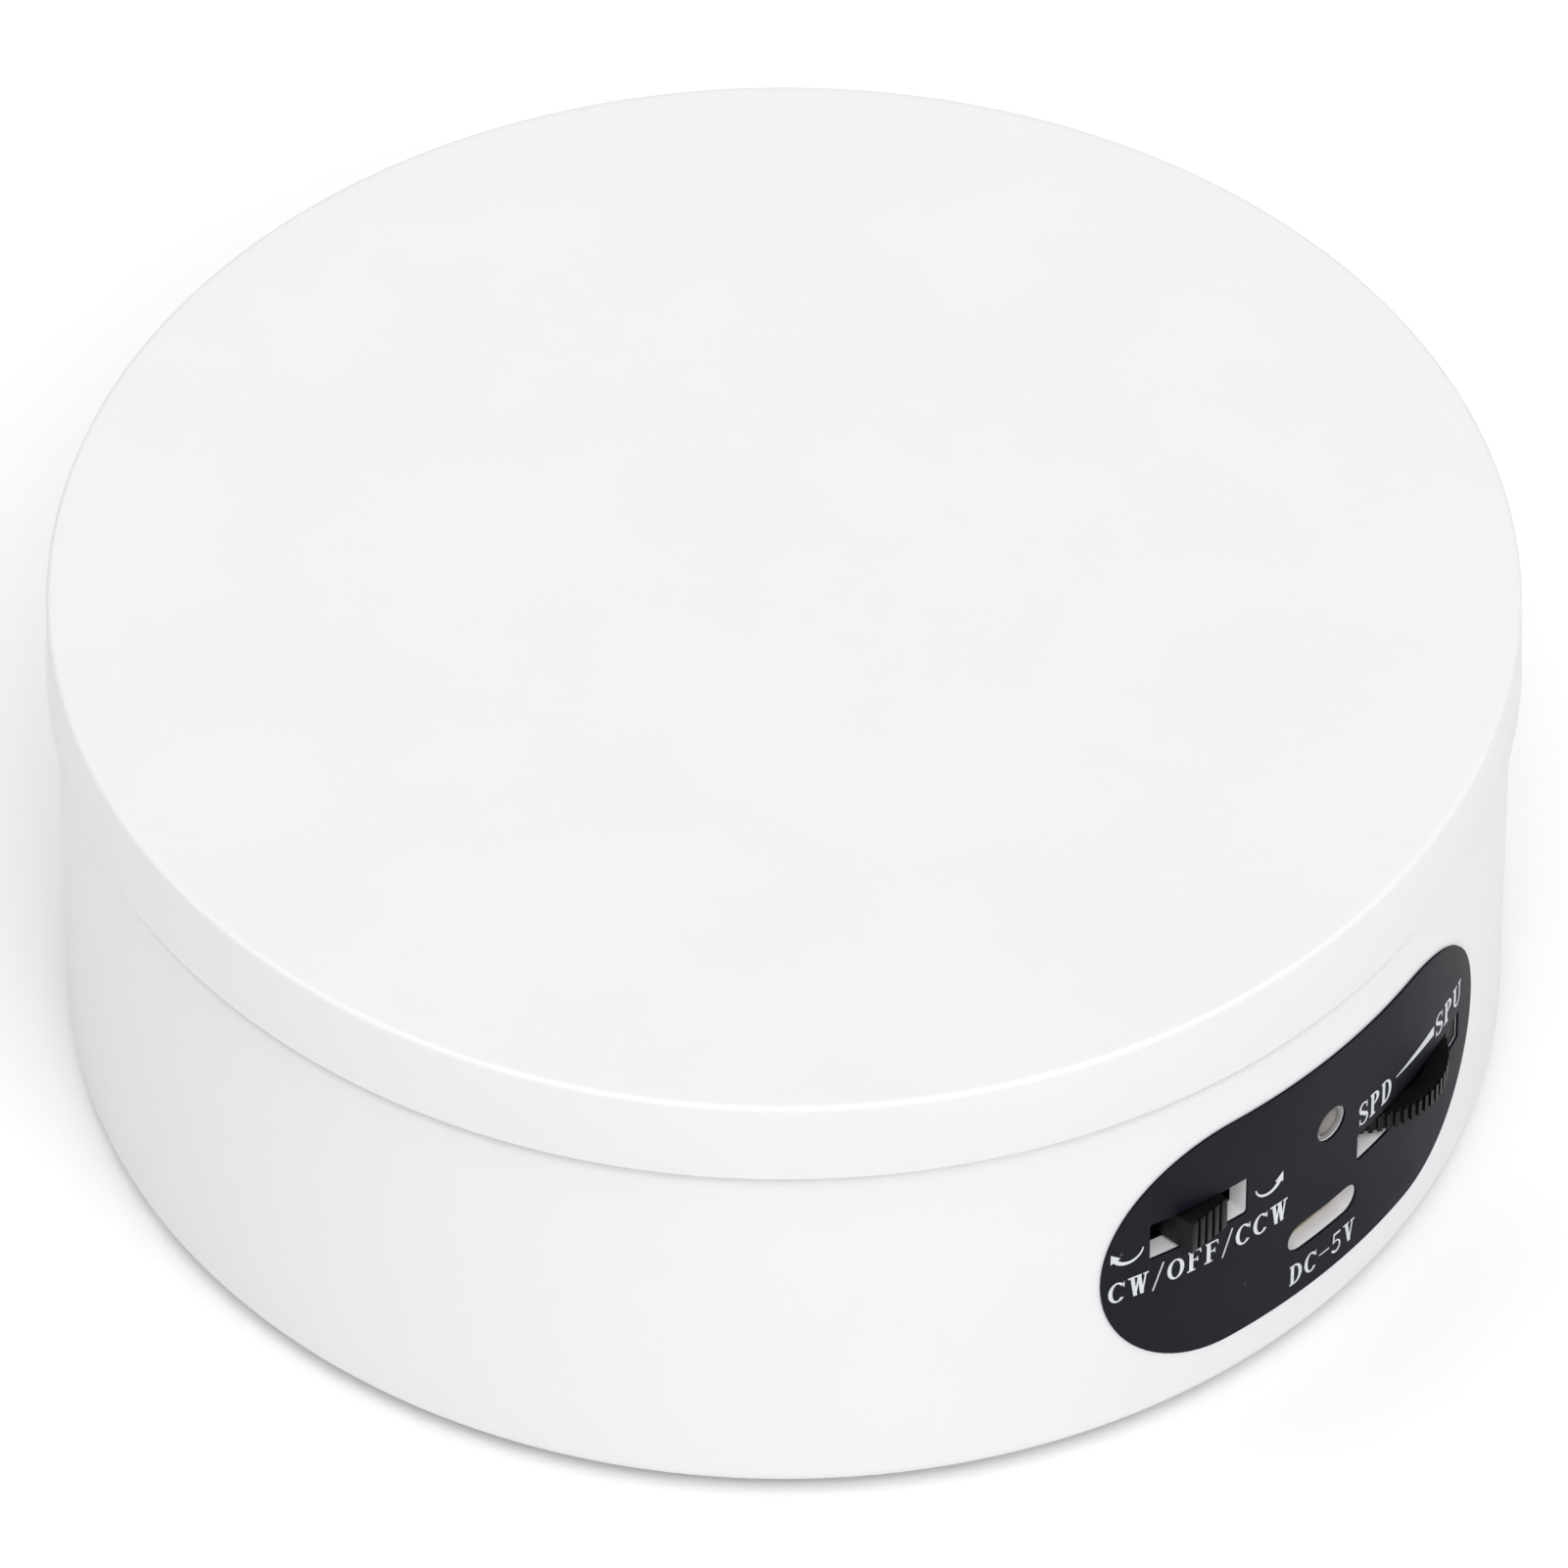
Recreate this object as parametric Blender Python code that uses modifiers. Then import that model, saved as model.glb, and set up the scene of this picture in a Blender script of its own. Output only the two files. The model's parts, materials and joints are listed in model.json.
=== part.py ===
"""A small motorised pottery wheel: a round platter on a drum base with a control panel.

The frame has +Z up, its origin on the floor under the platter's centre, and the panel
faces -Y. Lengths are in metres.
"""

import math

import bmesh
import bpy
from mathutils import Matrix, Vector

MM = 0.001
OBJECT_NAME = "pottery_wheel"

# Fits
FIT = 0.3 * MM              # between two pieces that stay still on each other
RUNNING_FIT = 0.1 * MM      # radial, between a shaft and its bearing
OVERLAP = 0.5 * MM          # how far a boss runs into the wall that it grows from
PLAY = 0.6 * MM             # between a moving piece and what it passes

# Facets of a full turn
WIDE_FACETS = 64
ROUND_FACETS = 24
SMALL_FACETS = 12

# Platter
PLATTER_RADIUS = 73.0 * MM
TOTAL_HEIGHT = 55.0 * MM
RIM_HEIGHT = 9.6 * MM
RIM_DRAFT = 0.25 * MM       # the rim is this much wider at its lower edge
RIM_WALL = 2.2 * MM
PLATTER_SKIN = 3.0 * MM
PLATTER_EDGE = 1.0 * MM     # fillet between top and rim
HUB_PAD_RADIUS = 15.0 * MM
HUB_PAD_HEIGHT = 1.5 * MM

# Base housing
SEAM = 1.0 * MM             # open gap between the platter's rim and the base
BASE_STEP = 0.7 * MM        # how far the base stands inside the platter
WALL = 2.0 * MM
DECK = 2.4 * MM
SHOULDER = 1.2 * MM         # fillet round the deck's edge
BOTTOM_EDGE = 2.0 * MM      # fillet round the foot of the wall
DECK_BOSS_RADIUS = 8.0 * MM
DECK_BOSS_HEIGHT = 4.5 * MM
LIP_WALL = 1.4 * MM         # upstanding lip inside the platter's rim, which closes the seam
LIP_CLEARANCE = 0.8 * MM
LIP_RISE = 2.0 * MM         # how far the lip overlaps the rim

# Bottom cover, its screws and the feet
COVER = 2.2 * MM
COVER_POST_RADIUS = 3.5 * MM
COVER_POST_INSET = 8.3 * MM     # from the wall's inner face to a post's centre
COVER_POSTS = 4
FOOT_HEIGHT = 1.3 * MM          # how far a foot stands out of the cover
FOOT_RADIUS = 6.0 * MM
FOOT_SEAT = 1.0 * MM            # depth of a foot's recess in the cover
FOOT_INSET = 10.3 * MM          # from the wall's inner face to a foot's centre
FOOT_CHAMFER = 0.4 * MM
FEET = 4

# Support rollers and their track
ROLLER_RADIUS = 5.0 * MM
ROLLER_WIDTH = 5.0 * MM
ROLLER_PIN_RADIUS = 1.0 * MM
ROLLERS = 4
TRACK_INSET = 20.3 * MM         # from the wall's outer face to the middle of the track
TRACK_WIDTH = 8.0 * MM
TRACK_THICKNESS = 1.0 * MM
LUG = 2.0 * MM
LUG_WIDTH = 5.0 * MM
LUG_COVER = 0.8 * MM            # plastic over a pin's bore
ROLLER_CHAMFER = 0.6 * MM

# Gear train: three equal stages from the motor's pinion down to the output gear
MODULE = 0.8 * MM
PINION_TEETH = 12
WHEEL_TEETH = 48
BACKLASH = 0.12 * MM
PRESSURE_ANGLE = math.radians(20)
GEAR_FACE = 3.0 * MM
GEAR_GAP = 1.0 * MM             # between two levels of the train
STAGE_BEARINGS = (150.0, 45.0, -20.0)   # degrees, from each gear to the one that drives it
AXLE_RADIUS = 1.0 * MM
OUTPUT_SHAFT_RADIUS = 2.5 * MM
OUTPUT_FLAT = 0.5 * MM          # depth of the flat on the shaft's upper end
BUSH_WALL = 2.0 * MM
GEAR_HUB_RADIUS = 3.4 * MM
PLATE = 2.0 * MM
PLATE_POST_RADIUS = 3.2 * MM
PLATE_POSTS = ((-28 / 24, -14 / 24), (31 / 24, -6 / 24), (-24 / 24, 44 / 24))  # in centre distances
PLATE_MARGIN = 2.3 * MM

# Motor
MOTOR_RADIUS = 12.2 * MM
MOTOR_HEIGHT = 12.5 * MM
MOTOR_CAP = 2.5 * MM
MOTOR_EDGE = 1.0 * MM           # chamfer of the can, and how far its cap stands in
MOTOR_SCREW_SPREAD = 8.5 * MM
LEAD_RADIUS = 0.6 * MM

# Control panel: places run along the wall from the label's centre, and up from the floor
PANEL_HEIGHT = 22.65 * MM
LABEL_LENGTH = 56.3 * MM
LABEL_HEIGHT = 30.0 * MM
LABEL_THICKNESS = 0.3 * MM
LABEL_GAP = 0.15 * MM
LED_PLACE = (0.25 * MM, 28.3 * MM)
LED_WINDOW_RADIUS = 2.0 * MM
LED_RADIUS = 1.7 * MM
LED_LENGTH = 5.0 * MM
LED_FLANGE = (0.4 * MM, 1.0 * MM)       # how much wider than the lens, and how long
LED_SETBACK = 0.2 * MM                  # from the wall's outer face to the lens's tip
LED_LEAD_RADIUS = 0.25 * MM
LED_LEAD_SPREAD = 0.8 * MM              # from the lens's axis to each lead
LED_LEAD_BEND = 1.0 * MM
LED_PAD_INSET = 1.0 * MM                # from the board's front edge to the leads
SWITCH_PLACE = (-17.0 * MM, 26.4 * MM)
SWITCH_SLOT = (11.5 * MM, 4.8 * MM)
SOCKET_PLACE = (-0.58 * MM, 15.6 * MM)
SOCKET_SLOT = (10.0 * MM, 3.5 * MM)
WHEEL_PLACE = (14.5 * MM, 21.6 * MM)
WHEEL_SLOT = (20.1 * MM, 3.6 * MM)

# Direction switch
KNOB_SIZE = (5.2 * MM, 4.0 * MM)
KNOB_STAND_OUT = 1.5 * MM
KNOB_RIBS = 5
KNOB_GROOVE = 0.35 * MM
KNOB_TRAVEL = 2.8 * MM          # from the middle to each side
SWITCH_WALL = 0.9 * MM
SWITCH_FRONT = 64.3 * MM        # at most, from the centre to the switch body's front
SWITCH_DEPTH = 5.0 * MM
SWITCH_POCKET = 2.2 * MM
SWITCH_LEG = 1.2 * MM           # thickness of the legs that stand on the board
SWITCH_LEG_INSET = 1.0 * MM     # from the body's front and back to its legs

# Speed wheel
SPEED_RADIUS = 9.5 * MM
SPEED_SHIFT = 0.6 * MM           # along the wall, from its slot's middle to the wheel's axis
SPEED_THICKNESS = 2.1 * MM
SPEED_STAND_OUT = 2.5 * MM
SPEED_TEETH = 64
SPEED_TOOTH = 0.36 * MM
SPEED_SPINDLE_RADIUS = 1.6 * MM
SPEED_SPINDLE = 3.4 * MM
POT_RADIUS = 4.0 * MM
POT_HEIGHT = 4.0 * MM
POT_ARM_WIDTH = 7.6 * MM
POT_FOOT = 3.0 * MM

# Circuit board and the socket under it
BOARD_SIZE = (54.0 * MM, 24.0 * MM, 1.6 * MM)
SOCKET_SHELL = (8.94 * MM, 3.2 * MM)
SOCKET_SHEET = 0.3 * MM
SOCKET_LENGTH = 8.6 * MM
SOCKET_RECESS = 1.7 * MM        # from the wall's outer face to the socket's mouth
SOCKET_TONGUE = (6.6 * MM, 0.7 * MM)
SOCKET_TONGUE_SETBACK = 1.0 * MM
SOCKET_PLUG = 2.0 * MM          # how long the insert's solid rear is
BOARD_POST = (6.0 * MM, 6.0 * MM)

# Screws: head radius, head height, shank radius, shank length
COVER_SCREW = (2.6 * MM, 1.2 * MM, 1.2 * MM, 9.0 * MM)
PLATE_SCREW = (2.4 * MM, 1.2 * MM, 1.0 * MM, 8.0 * MM)
MOTOR_SCREW = (2.0 * MM, 1.0 * MM, 1.0 * MM, 3.5 * MM)
HUB_SCREW = (2.0 * MM, 1.2 * MM, 1.0 * MM, 4.0 * MM)
BOARD_SCREW = (2.2 * MM, 1.2 * MM, 1.0 * MM, 7.0 * MM)
HUB_SCREWS = 3
HUB_SCREW_RING = 10.5 * MM
HUB_FLANGE = 2.0 * MM
HUB_BARREL_RADIUS = 5.5 * MM

# Levels and radii that follow
BASE_RADIUS = PLATTER_RADIUS - BASE_STEP
INNER_RADIUS = BASE_RADIUS - WALL
PLATTER_UNDERSIDE = TOTAL_HEIGHT - PLATTER_SKIN
RIM_BOTTOM = TOTAL_HEIGHT - RIM_HEIGHT
DECK_TOP = RIM_BOTTOM - SEAM
DECK_UNDERSIDE = DECK_TOP - DECK
SHELL_BOTTOM = FOOT_HEIGHT
COVER_TOP = SHELL_BOTTOM + COVER
TRACK_RADIUS = BASE_RADIUS - TRACK_INSET
TRACK_TOP = PLATTER_UNDERSIDE - FIT
TRACK_BOTTOM = TRACK_TOP - TRACK_THICKNESS
ROLLER_AXIS = TRACK_BOTTOM - FIT - ROLLER_RADIUS
COVER_POST_RING = INNER_RADIUS - COVER_POST_INSET
CENTRE_DISTANCE = MODULE * (PINION_TEETH + WHEEL_TEETH) / 2
DECK_BOSS_BOTTOM = DECK_UNDERSIDE - DECK_BOSS_HEIGHT
OUTPUT_LEVEL = DECK_BOSS_BOTTOM - 2 * GEAR_GAP - GEAR_FACE
SECOND_LEVEL = OUTPUT_LEVEL - GEAR_GAP - GEAR_FACE
FIRST_LEVEL = SECOND_LEVEL - GEAR_GAP - GEAR_FACE
PLATE_TOP = FIRST_LEVEL - 2 * GEAR_GAP
PLATE_BOTTOM = PLATE_TOP - PLATE
MOTOR_TOP = PLATE_BOTTOM - FIT
HUB_TOP = PLATTER_UNDERSIDE - HUB_PAD_HEIGHT - FIT
HUB_BOTTOM = DECK_TOP + SEAM
BUSH_RADIUS = OUTPUT_SHAFT_RADIUS + RUNNING_FIT + BUSH_WALL
BOARD_BOTTOM = SOCKET_PLACE[1] + SOCKET_SHELL[1] / 2 + FIT
BOARD_TOP = BOARD_BOTTOM + BOARD_SIZE[2]
BOARD_FRONT = -math.sqrt((INNER_RADIUS - 2 * FIT) ** 2 - (BOARD_SIZE[0] / 2) ** 2)
BOARD_BACK = BOARD_FRONT + BOARD_SIZE[1]


# ---------------------------------------------------------------- small helpers

def new_material(name, color, roughness, metallic=0.0):
    """A plain Principled finish."""
    finish = bpy.data.materials.new(name)
    finish.use_nodes = True
    shader = finish.node_tree.nodes["Principled BSDF"]
    shader.inputs["Base Color"].default_value = (*color, 1.0)
    shader.inputs["Roughness"].default_value = roughness
    shader.inputs["Metallic"].default_value = metallic
    return finish


def new_object(name, mesh):
    """An object for this mesh, in the collection of parts."""
    obj = bpy.data.objects.new(name, mesh)
    bpy.data.collections[OBJECT_NAME].objects.link(obj)
    return obj


def from_bmesh(name, shape):
    """An object whose mesh is this bmesh."""
    mesh = bpy.data.meshes.new(name)
    shape.to_mesh(mesh)
    shape.free()
    return new_object(name, mesh)


def polar(radius, degrees):
    """The point (x, y) at this radius and angle from +X."""
    angle = math.radians(degrees)
    return radius * math.cos(angle), radius * math.sin(angle)


def arc(centre, radius, start, end, steps):
    """Points on an arc, both ends included, with angles in degrees."""
    points = []
    for step in range(steps + 1):
        x, y = polar(radius, start + (end - start) * step / steps)
        points.append((centre[0] + x, centre[1] + y))
    return points


def circle(centre, radius, facets):
    """Points round a circle."""
    return arc(centre, radius, 0, 360 - 360 / facets, facets - 1)


def rectangle(centre, size):
    """The corners of a rectangle."""
    x, y = centre
    left, right = x - size[0] / 2, x + size[0] / 2
    low, high = y - size[1] / 2, y + size[1] / 2
    return [(left, low), (right, low), (right, high), (left, high)]


def stadium(centre, length, height, steps=10):
    """A rectangle with round ends."""
    radius = height / 2
    reach = length / 2 - radius
    right = arc((centre[0] + reach, centre[1]), radius, -90, 90, steps)
    left = arc((centre[0] - reach, centre[1]), radius, 90, 270, steps)
    return right + left


def turned(name, profile, facets):
    """A turned shape: a closed profile of (radius, height) that runs down its outer side."""
    mesh = bpy.data.meshes.new(name)
    points = [(radius, 0.0, height) for radius, height in profile]
    edges = [(i, (i + 1) % len(points)) for i in range(len(points))]
    on_axis = [i for i, point in enumerate(points) if point[0] == 0.0]
    if len(on_axis) == 2:
        edges.remove((max(on_axis), min(on_axis)))
    mesh.from_pydata(points, edges, [])
    obj = new_object(name, mesh)
    screw = obj.modifiers.new("Screw", "SCREW")
    screw.steps = facets
    screw.render_steps = facets
    screw.use_merge_vertices = True
    screw.merge_threshold = 0.00001
    return obj


def block(name, low, high):
    """A box between two corners."""
    shape = bmesh.new()
    bmesh.ops.create_cube(shape, size=1.0)
    size = Vector(high) - Vector(low)
    middle = (Vector(high) + Vector(low)) / 2
    place = Matrix.Translation(middle) @ Matrix.Diagonal((*size, 1.0))
    bmesh.ops.transform(shape, matrix=place, verts=shape.verts)
    return from_bmesh(name, shape)


def rod(name, centre, radius, low, high, facets=SMALL_FACETS):
    """An upright cylinder between two heights."""
    shape = bmesh.new()
    bmesh.ops.create_cone(
        shape, cap_ends=True, segments=facets, radius1=radius, radius2=radius, depth=high - low
    )
    bmesh.ops.translate(shape, vec=(centre[0], centre[1], (low + high) / 2), verts=shape.verts)
    return from_bmesh(name, shape)


def prism(name, loops, low, high):
    """Flat closed loops, the first outside and the rest holes, extruded between two heights."""
    curve = bpy.data.curves.new(name, "CURVE")
    curve.dimensions = "2D"
    curve.fill_mode = "BOTH"
    curve.extrude = (high - low) / 2
    for loop in loops:
        spline = curve.splines.new("POLY")
        spline.points.add(len(loop) - 1)
        for point, (x, y) in zip(spline.points, loop):
            point.co = (x, y, 0.0, 1.0)
        spline.use_cyclic_u = True
    outline = new_object(name + "_outline", curve)
    outline.location.z = (low + high) / 2
    return meshed(name, outline)


def meshed(name, outline):
    """The curve object as a closed mesh object, with the curve removed."""
    bpy.context.view_layer.update()
    evaluated = outline.evaluated_get(bpy.context.evaluated_depsgraph_get())
    mesh = bpy.data.meshes.new_from_object(evaluated)
    mesh.transform(outline.matrix_world)
    shape = bmesh.new()
    shape.from_mesh(mesh)
    bmesh.ops.remove_doubles(shape, verts=shape.verts, dist=0.000001)
    bmesh.ops.recalc_face_normals(shape, faces=shape.faces)
    bpy.data.meshes.remove(mesh)
    bpy.data.objects.remove(outline)
    return from_bmesh(name, shape)


def lay_forward(obj):
    """Turns an upright shape so that its +Z points to -Y and its +Y points up."""
    obj.data.transform(Matrix.Rotation(math.radians(90), 4, "X"))
    return obj


def stand_at(obj, centre):
    """Gives the object an upright axis through this point as its origin, with the shape left in place."""
    obj.data.transform(Matrix.Translation((-centre[0], -centre[1], 0.0)))
    obj.location = (centre[0], centre[1], 0.0)
    return obj


def boolean(target, tool, operation):
    """Adds an exact Boolean to the target, and puts the tool with the cutters."""
    bpy.data.collections[OBJECT_NAME].objects.unlink(tool)
    bpy.data.collections["cutters"].objects.link(tool)
    tool.name = "cutter"
    tool.hide_render = True
    tool.display_type = "WIRE"
    modifier = target.modifiers.new(operation.title(), "BOOLEAN")
    modifier.operation = operation
    modifier.solver = "EXACT"
    modifier.object = tool


def cut(target, tool):
    """Takes the tool's shape out of the target."""
    boolean(target, tool, "DIFFERENCE")


def join(target, tool):
    """Adds the tool's shape to the target."""
    boolean(target, tool, "UNION")


def dress(obj, finish):
    """Gives a piece its material, and smooth shading with sharp edges kept."""
    obj.data.materials.clear()
    obj.data.materials.append(finish)
    if obj.data.polygons:
        obj.data.shade_smooth()
        obj.data.set_sharp_from_angle(angle=math.radians(35))
    return obj


def wall_x(along):
    """The x of a place that lies this far along the wall from the label's centre."""
    return BASE_RADIUS * math.sin(along / BASE_RADIUS)


def wall_span(place, size):
    """The centre x and width of a slot whose place and width are given along the wall."""
    left = wall_x(place[0] - size[0] / 2)
    right = wall_x(place[0] + size[0] / 2)
    return (left + right) / 2, right - left


# ---------------------------------------------------------------- gear geometry

def involute(angle):
    """The angle that an involute has turned through where its pressure angle is this."""
    return math.tan(angle) - angle


def gear_outline(teeth, phase, flank_radii):
    """A spur gear's outline with a tooth centred on the phase, in radians."""
    pitch = MODULE * teeth / 2
    base = pitch * math.cos(PRESSURE_ANGLE)
    half_pitch_tooth = math.pi / (2 * teeth) - BACKLASH / 4 / pitch + involute(PRESSURE_ANGLE)
    points = []
    for tooth in range(teeth):
        centre = phase + 2 * math.pi * tooth / teeth
        flank = []
        for radius in flank_radii:
            half = half_pitch_tooth - involute(math.acos(base / max(radius, base)))
            flank.append((radius, half))
        for radius, half in flank:
            points.append((radius * math.cos(centre - half), radius * math.sin(centre - half)))
        for radius, half in reversed(flank):
            points.append((radius * math.cos(centre + half), radius * math.sin(centre + half)))
    return points


def wheel_outline(phase):
    """The outline of a large gear."""
    pitch = MODULE * WHEEL_TEETH / 2
    return gear_outline(WHEEL_TEETH, phase, (pitch - 1.15 * MODULE, pitch + 0.85 * MODULE))


def pinion_outline(phase):
    """The outline of a pinion."""
    pitch = MODULE * PINION_TEETH / 2
    return gear_outline(PINION_TEETH, phase, (pitch - 1.15 * MODULE, pitch, pitch + 0.85 * MODULE))


def meshing_phase(bearing, wheel_phase):
    """The phase of a pinion that lies at this bearing from its wheel, so that the teeth are in mesh."""
    turn = WHEEL_TEETH * (bearing - wheel_phase)
    return bearing + math.pi + (turn - math.pi) / PINION_TEETH


def train_centres():
    """The axes of the output gear, the second gear, the first gear and the motor."""
    centres = [(0.0, 0.0)]
    for bearing in STAGE_BEARINGS:
        x, y = polar(CENTRE_DISTANCE, bearing)
        centres.append((centres[-1][0] + x, centres[-1][1] + y))
    return centres


def train_phases():
    """The phases of the wheels' and the pinions' teeth, from the output gear back to the motor."""
    wheel_phase = 0.0
    phases = []
    for bearing in STAGE_BEARINGS:
        pinion_phase = meshing_phase(math.radians(bearing), wheel_phase)
        phases.append((wheel_phase, pinion_phase))
        wheel_phase = pinion_phase
    return phases


def hull(points):
    """The convex outline round some points."""
    ordered = sorted(set(points))

    def chain(sequence):
        side = []
        for point in sequence:
            while len(side) > 1:
                ahead = (side[-1][0] - side[-2][0], side[-1][1] - side[-2][1])
                turn = (point[0] - side[-2][0], point[1] - side[-2][1])
                if ahead[0] * turn[1] - ahead[1] * turn[0] > 0:
                    break
                side.pop()
            side.append(point)
        return side[:-1]

    return chain(ordered) + chain(reversed(ordered))


# ---------------------------------------------------------------- screws

def make_screw(name, size, finish):
    """A cross-head screw that stands head down, with the underside of its head at the origin."""
    head_radius, head_height, shank_radius, shank_length = size
    tip = 0.4 * shank_radius
    screw = turned(
        name,
        [
            (0.0, shank_length),
            (tip, shank_length),
            (shank_radius, shank_length - shank_radius),
            (shank_radius, 0.0),
            (head_radius, 0.0),
            (head_radius, -0.6 * head_height),
            (head_radius - 0.4 * head_height, -head_height),
            (0.0, -head_height),
        ],
        SMALL_FACETS,
    )
    reach, half_slot, depth = 0.6 * head_radius, 0.13 * head_radius, 0.55 * head_height
    bottom, top = -head_height - OVERLAP, -head_height + depth
    cut(screw, block("slot", (-reach, -half_slot, bottom), (reach, half_slot, top)))
    cut(screw, block("slot", (-half_slot, -reach, bottom), (half_slot, reach, top)))
    return dress(screw, finish)


def place_screw(screw, location, rotation=(0.0, 0.0, 0.0)):
    """Puts a screw and its two slot cutters in place."""
    place = Matrix.Translation(location)
    for axis, angle in zip("XYZ", rotation):
        place = place @ Matrix.Rotation(angle, 4, axis)
    screw.matrix_world = place
    for modifier in screw.modifiers:
        if modifier.type == "BOOLEAN":
            modifier.object.matrix_world = place
    return screw


# ---------------------------------------------------------------- platter

def make_platter(finish):
    """The round top with its rim, and the pad that the hub is screwed to."""
    radius, edge = PLATTER_RADIUS, PLATTER_EDGE
    corner = arc((radius - edge, TOTAL_HEIGHT - edge), edge, 90, 0, 3)
    inner = radius - RIM_WALL
    profile = [(0.0, TOTAL_HEIGHT), *corner]
    profile += [(radius + RIM_DRAFT, RIM_BOTTOM + 0.4 * edge), (radius + RIM_DRAFT - 0.4 * edge, RIM_BOTTOM)]
    profile += [(inner, RIM_BOTTOM), (inner, PLATTER_UNDERSIDE), (HUB_PAD_RADIUS, PLATTER_UNDERSIDE)]
    pad_bottom = PLATTER_UNDERSIDE - HUB_PAD_HEIGHT
    profile += [(HUB_PAD_RADIUS, pad_bottom), (0.0, pad_bottom)]
    platter = turned("platter", profile, WIDE_FACETS)
    hole = HUB_SCREW[2] + FIT
    for centre in hub_screw_places():
        top = HUB_TOP - HUB_FLANGE + HUB_SCREW[3] + FIT
        cut(platter, rod("hole", centre, hole, HUB_TOP - OVERLAP, top, SMALL_FACETS))
    return dress(platter, finish)


def hub_screw_places():
    """Where the hub's screws stand, round the axis."""
    return [polar(HUB_SCREW_RING, 90 + 360 * i / HUB_SCREWS) for i in range(HUB_SCREWS)]


def make_track(finish):
    """The flat steel ring under the platter that the rollers carry."""
    outer, inner = TRACK_RADIUS + TRACK_WIDTH / 2, TRACK_RADIUS - TRACK_WIDTH / 2
    ring = [(inner, TRACK_TOP), (outer, TRACK_TOP), (outer, TRACK_BOTTOM), (inner, TRACK_BOTTOM)]
    return dress(turned("track_ring", ring, WIDE_FACETS), finish)


def shaft_outline(radius, flat):
    """A round outline with a flat on its +X side."""
    half = math.degrees(math.acos((radius - flat) / radius))
    return arc((0.0, 0.0), radius, half, 360 - half, ROUND_FACETS - 2)


def make_hub(finish):
    """The flanged hub between the platter and the output shaft, with a bore that fits the shaft's flat."""
    flange_bottom = HUB_TOP - HUB_FLANGE
    hub = turned(
        "drive_hub",
        [
            (0.0, HUB_TOP),
            (HUB_PAD_RADIUS, HUB_TOP),
            (HUB_PAD_RADIUS, flange_bottom),
            (HUB_BARREL_RADIUS, flange_bottom),
            (HUB_BARREL_RADIUS, HUB_BOTTOM),
            (0.0, HUB_BOTTOM),
        ],
        ROUND_FACETS,
    )
    bore = shaft_outline(OUTPUT_SHAFT_RADIUS + FIT, OUTPUT_FLAT)
    cut(hub, prism("bore", [bore], HUB_BOTTOM - OVERLAP, HUB_TOP - FIT))
    for centre in hub_screw_places():
        cut(hub, rod("hole", centre, HUB_SCREW[2] + FIT, flange_bottom - OVERLAP, HUB_TOP + OVERLAP))
    return dress(hub, finish)


def make_output_shaft(finish):
    """The steel shaft that carries the output gear and the hub, with a flat along its upper end."""
    bottom = PLATE_BOTTOM - PLATE
    top = HUB_TOP - 2 * FIT
    flat_from = HUB_BOTTOM
    shaft = rod("output_shaft", (0.0, 0.0), OUTPUT_SHAFT_RADIUS, bottom, top, ROUND_FACETS)
    face = OUTPUT_SHAFT_RADIUS - OUTPUT_FLAT
    reach = 2 * OUTPUT_SHAFT_RADIUS
    cut(shaft, block("flat", (face, -reach, flat_from), (face + reach, reach, top + OVERLAP)))
    return dress(shaft, finish)


def make_hub_screws(finish):
    """The screws that hold the hub to the platter."""
    for number, centre in enumerate(hub_screw_places(), 1):
        screw = make_screw(f"hub_screw_{number}", HUB_SCREW, finish)
        place_screw(screw, (*centre, HUB_TOP - HUB_FLANGE - FIT))


# ---------------------------------------------------------------- base housing

def make_housing(finish):
    """The drum: wall and deck in one moulding, with bosses, posts, roller seats and panel openings."""
    bore = BUSH_RADIUS + FIT
    shoulder = arc((BASE_RADIUS - SHOULDER, DECK_TOP - SHOULDER), SHOULDER, 90, 0, 3)
    foot = arc((BASE_RADIUS - BOTTOM_EDGE, SHELL_BOTTOM + BOTTOM_EDGE), BOTTOM_EDGE, 0, -70, 3)
    lip_outer = PLATTER_RADIUS - RIM_WALL - LIP_CLEARANCE
    lip_inner = lip_outer - LIP_WALL
    lip_top = RIM_BOTTOM + LIP_RISE
    profile = [(bore, DECK_TOP), (lip_inner, DECK_TOP), (lip_inner, lip_top), (lip_outer, lip_top)]
    profile += [(lip_outer, DECK_TOP), *shoulder, *foot, (INNER_RADIUS, SHELL_BOTTOM)]
    profile += [(INNER_RADIUS, DECK_UNDERSIDE), (DECK_BOSS_RADIUS, DECK_UNDERSIDE)]
    profile += [(DECK_BOSS_RADIUS, DECK_BOSS_BOTTOM), (bore, DECK_BOSS_BOTTOM)]
    housing = turned("base_housing", profile, WIDE_FACETS)
    add_posts(housing)
    add_roller_seats(housing)
    cut_panel(housing)
    return dress(housing, finish)


def cover_post_places():
    """Where the bottom cover's screws stand."""
    return [polar(COVER_POST_RING, 45 + 360 * i / COVER_POSTS) for i in range(COVER_POSTS)]


def plate_post_places():
    """Where the gear plate's screws stand."""
    return [(x * CENTRE_DISTANCE, y * CENTRE_DISTANCE) for x, y in PLATE_POSTS]


def board_post_places():
    """Where the circuit board's screws stand, near its two back corners."""
    x = BOARD_SIZE[0] / 2 - BOARD_POST[0] / 2
    y = BOARD_BACK - BOARD_POST[1] / 2
    return [(-x, y), (x, y)]


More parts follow.
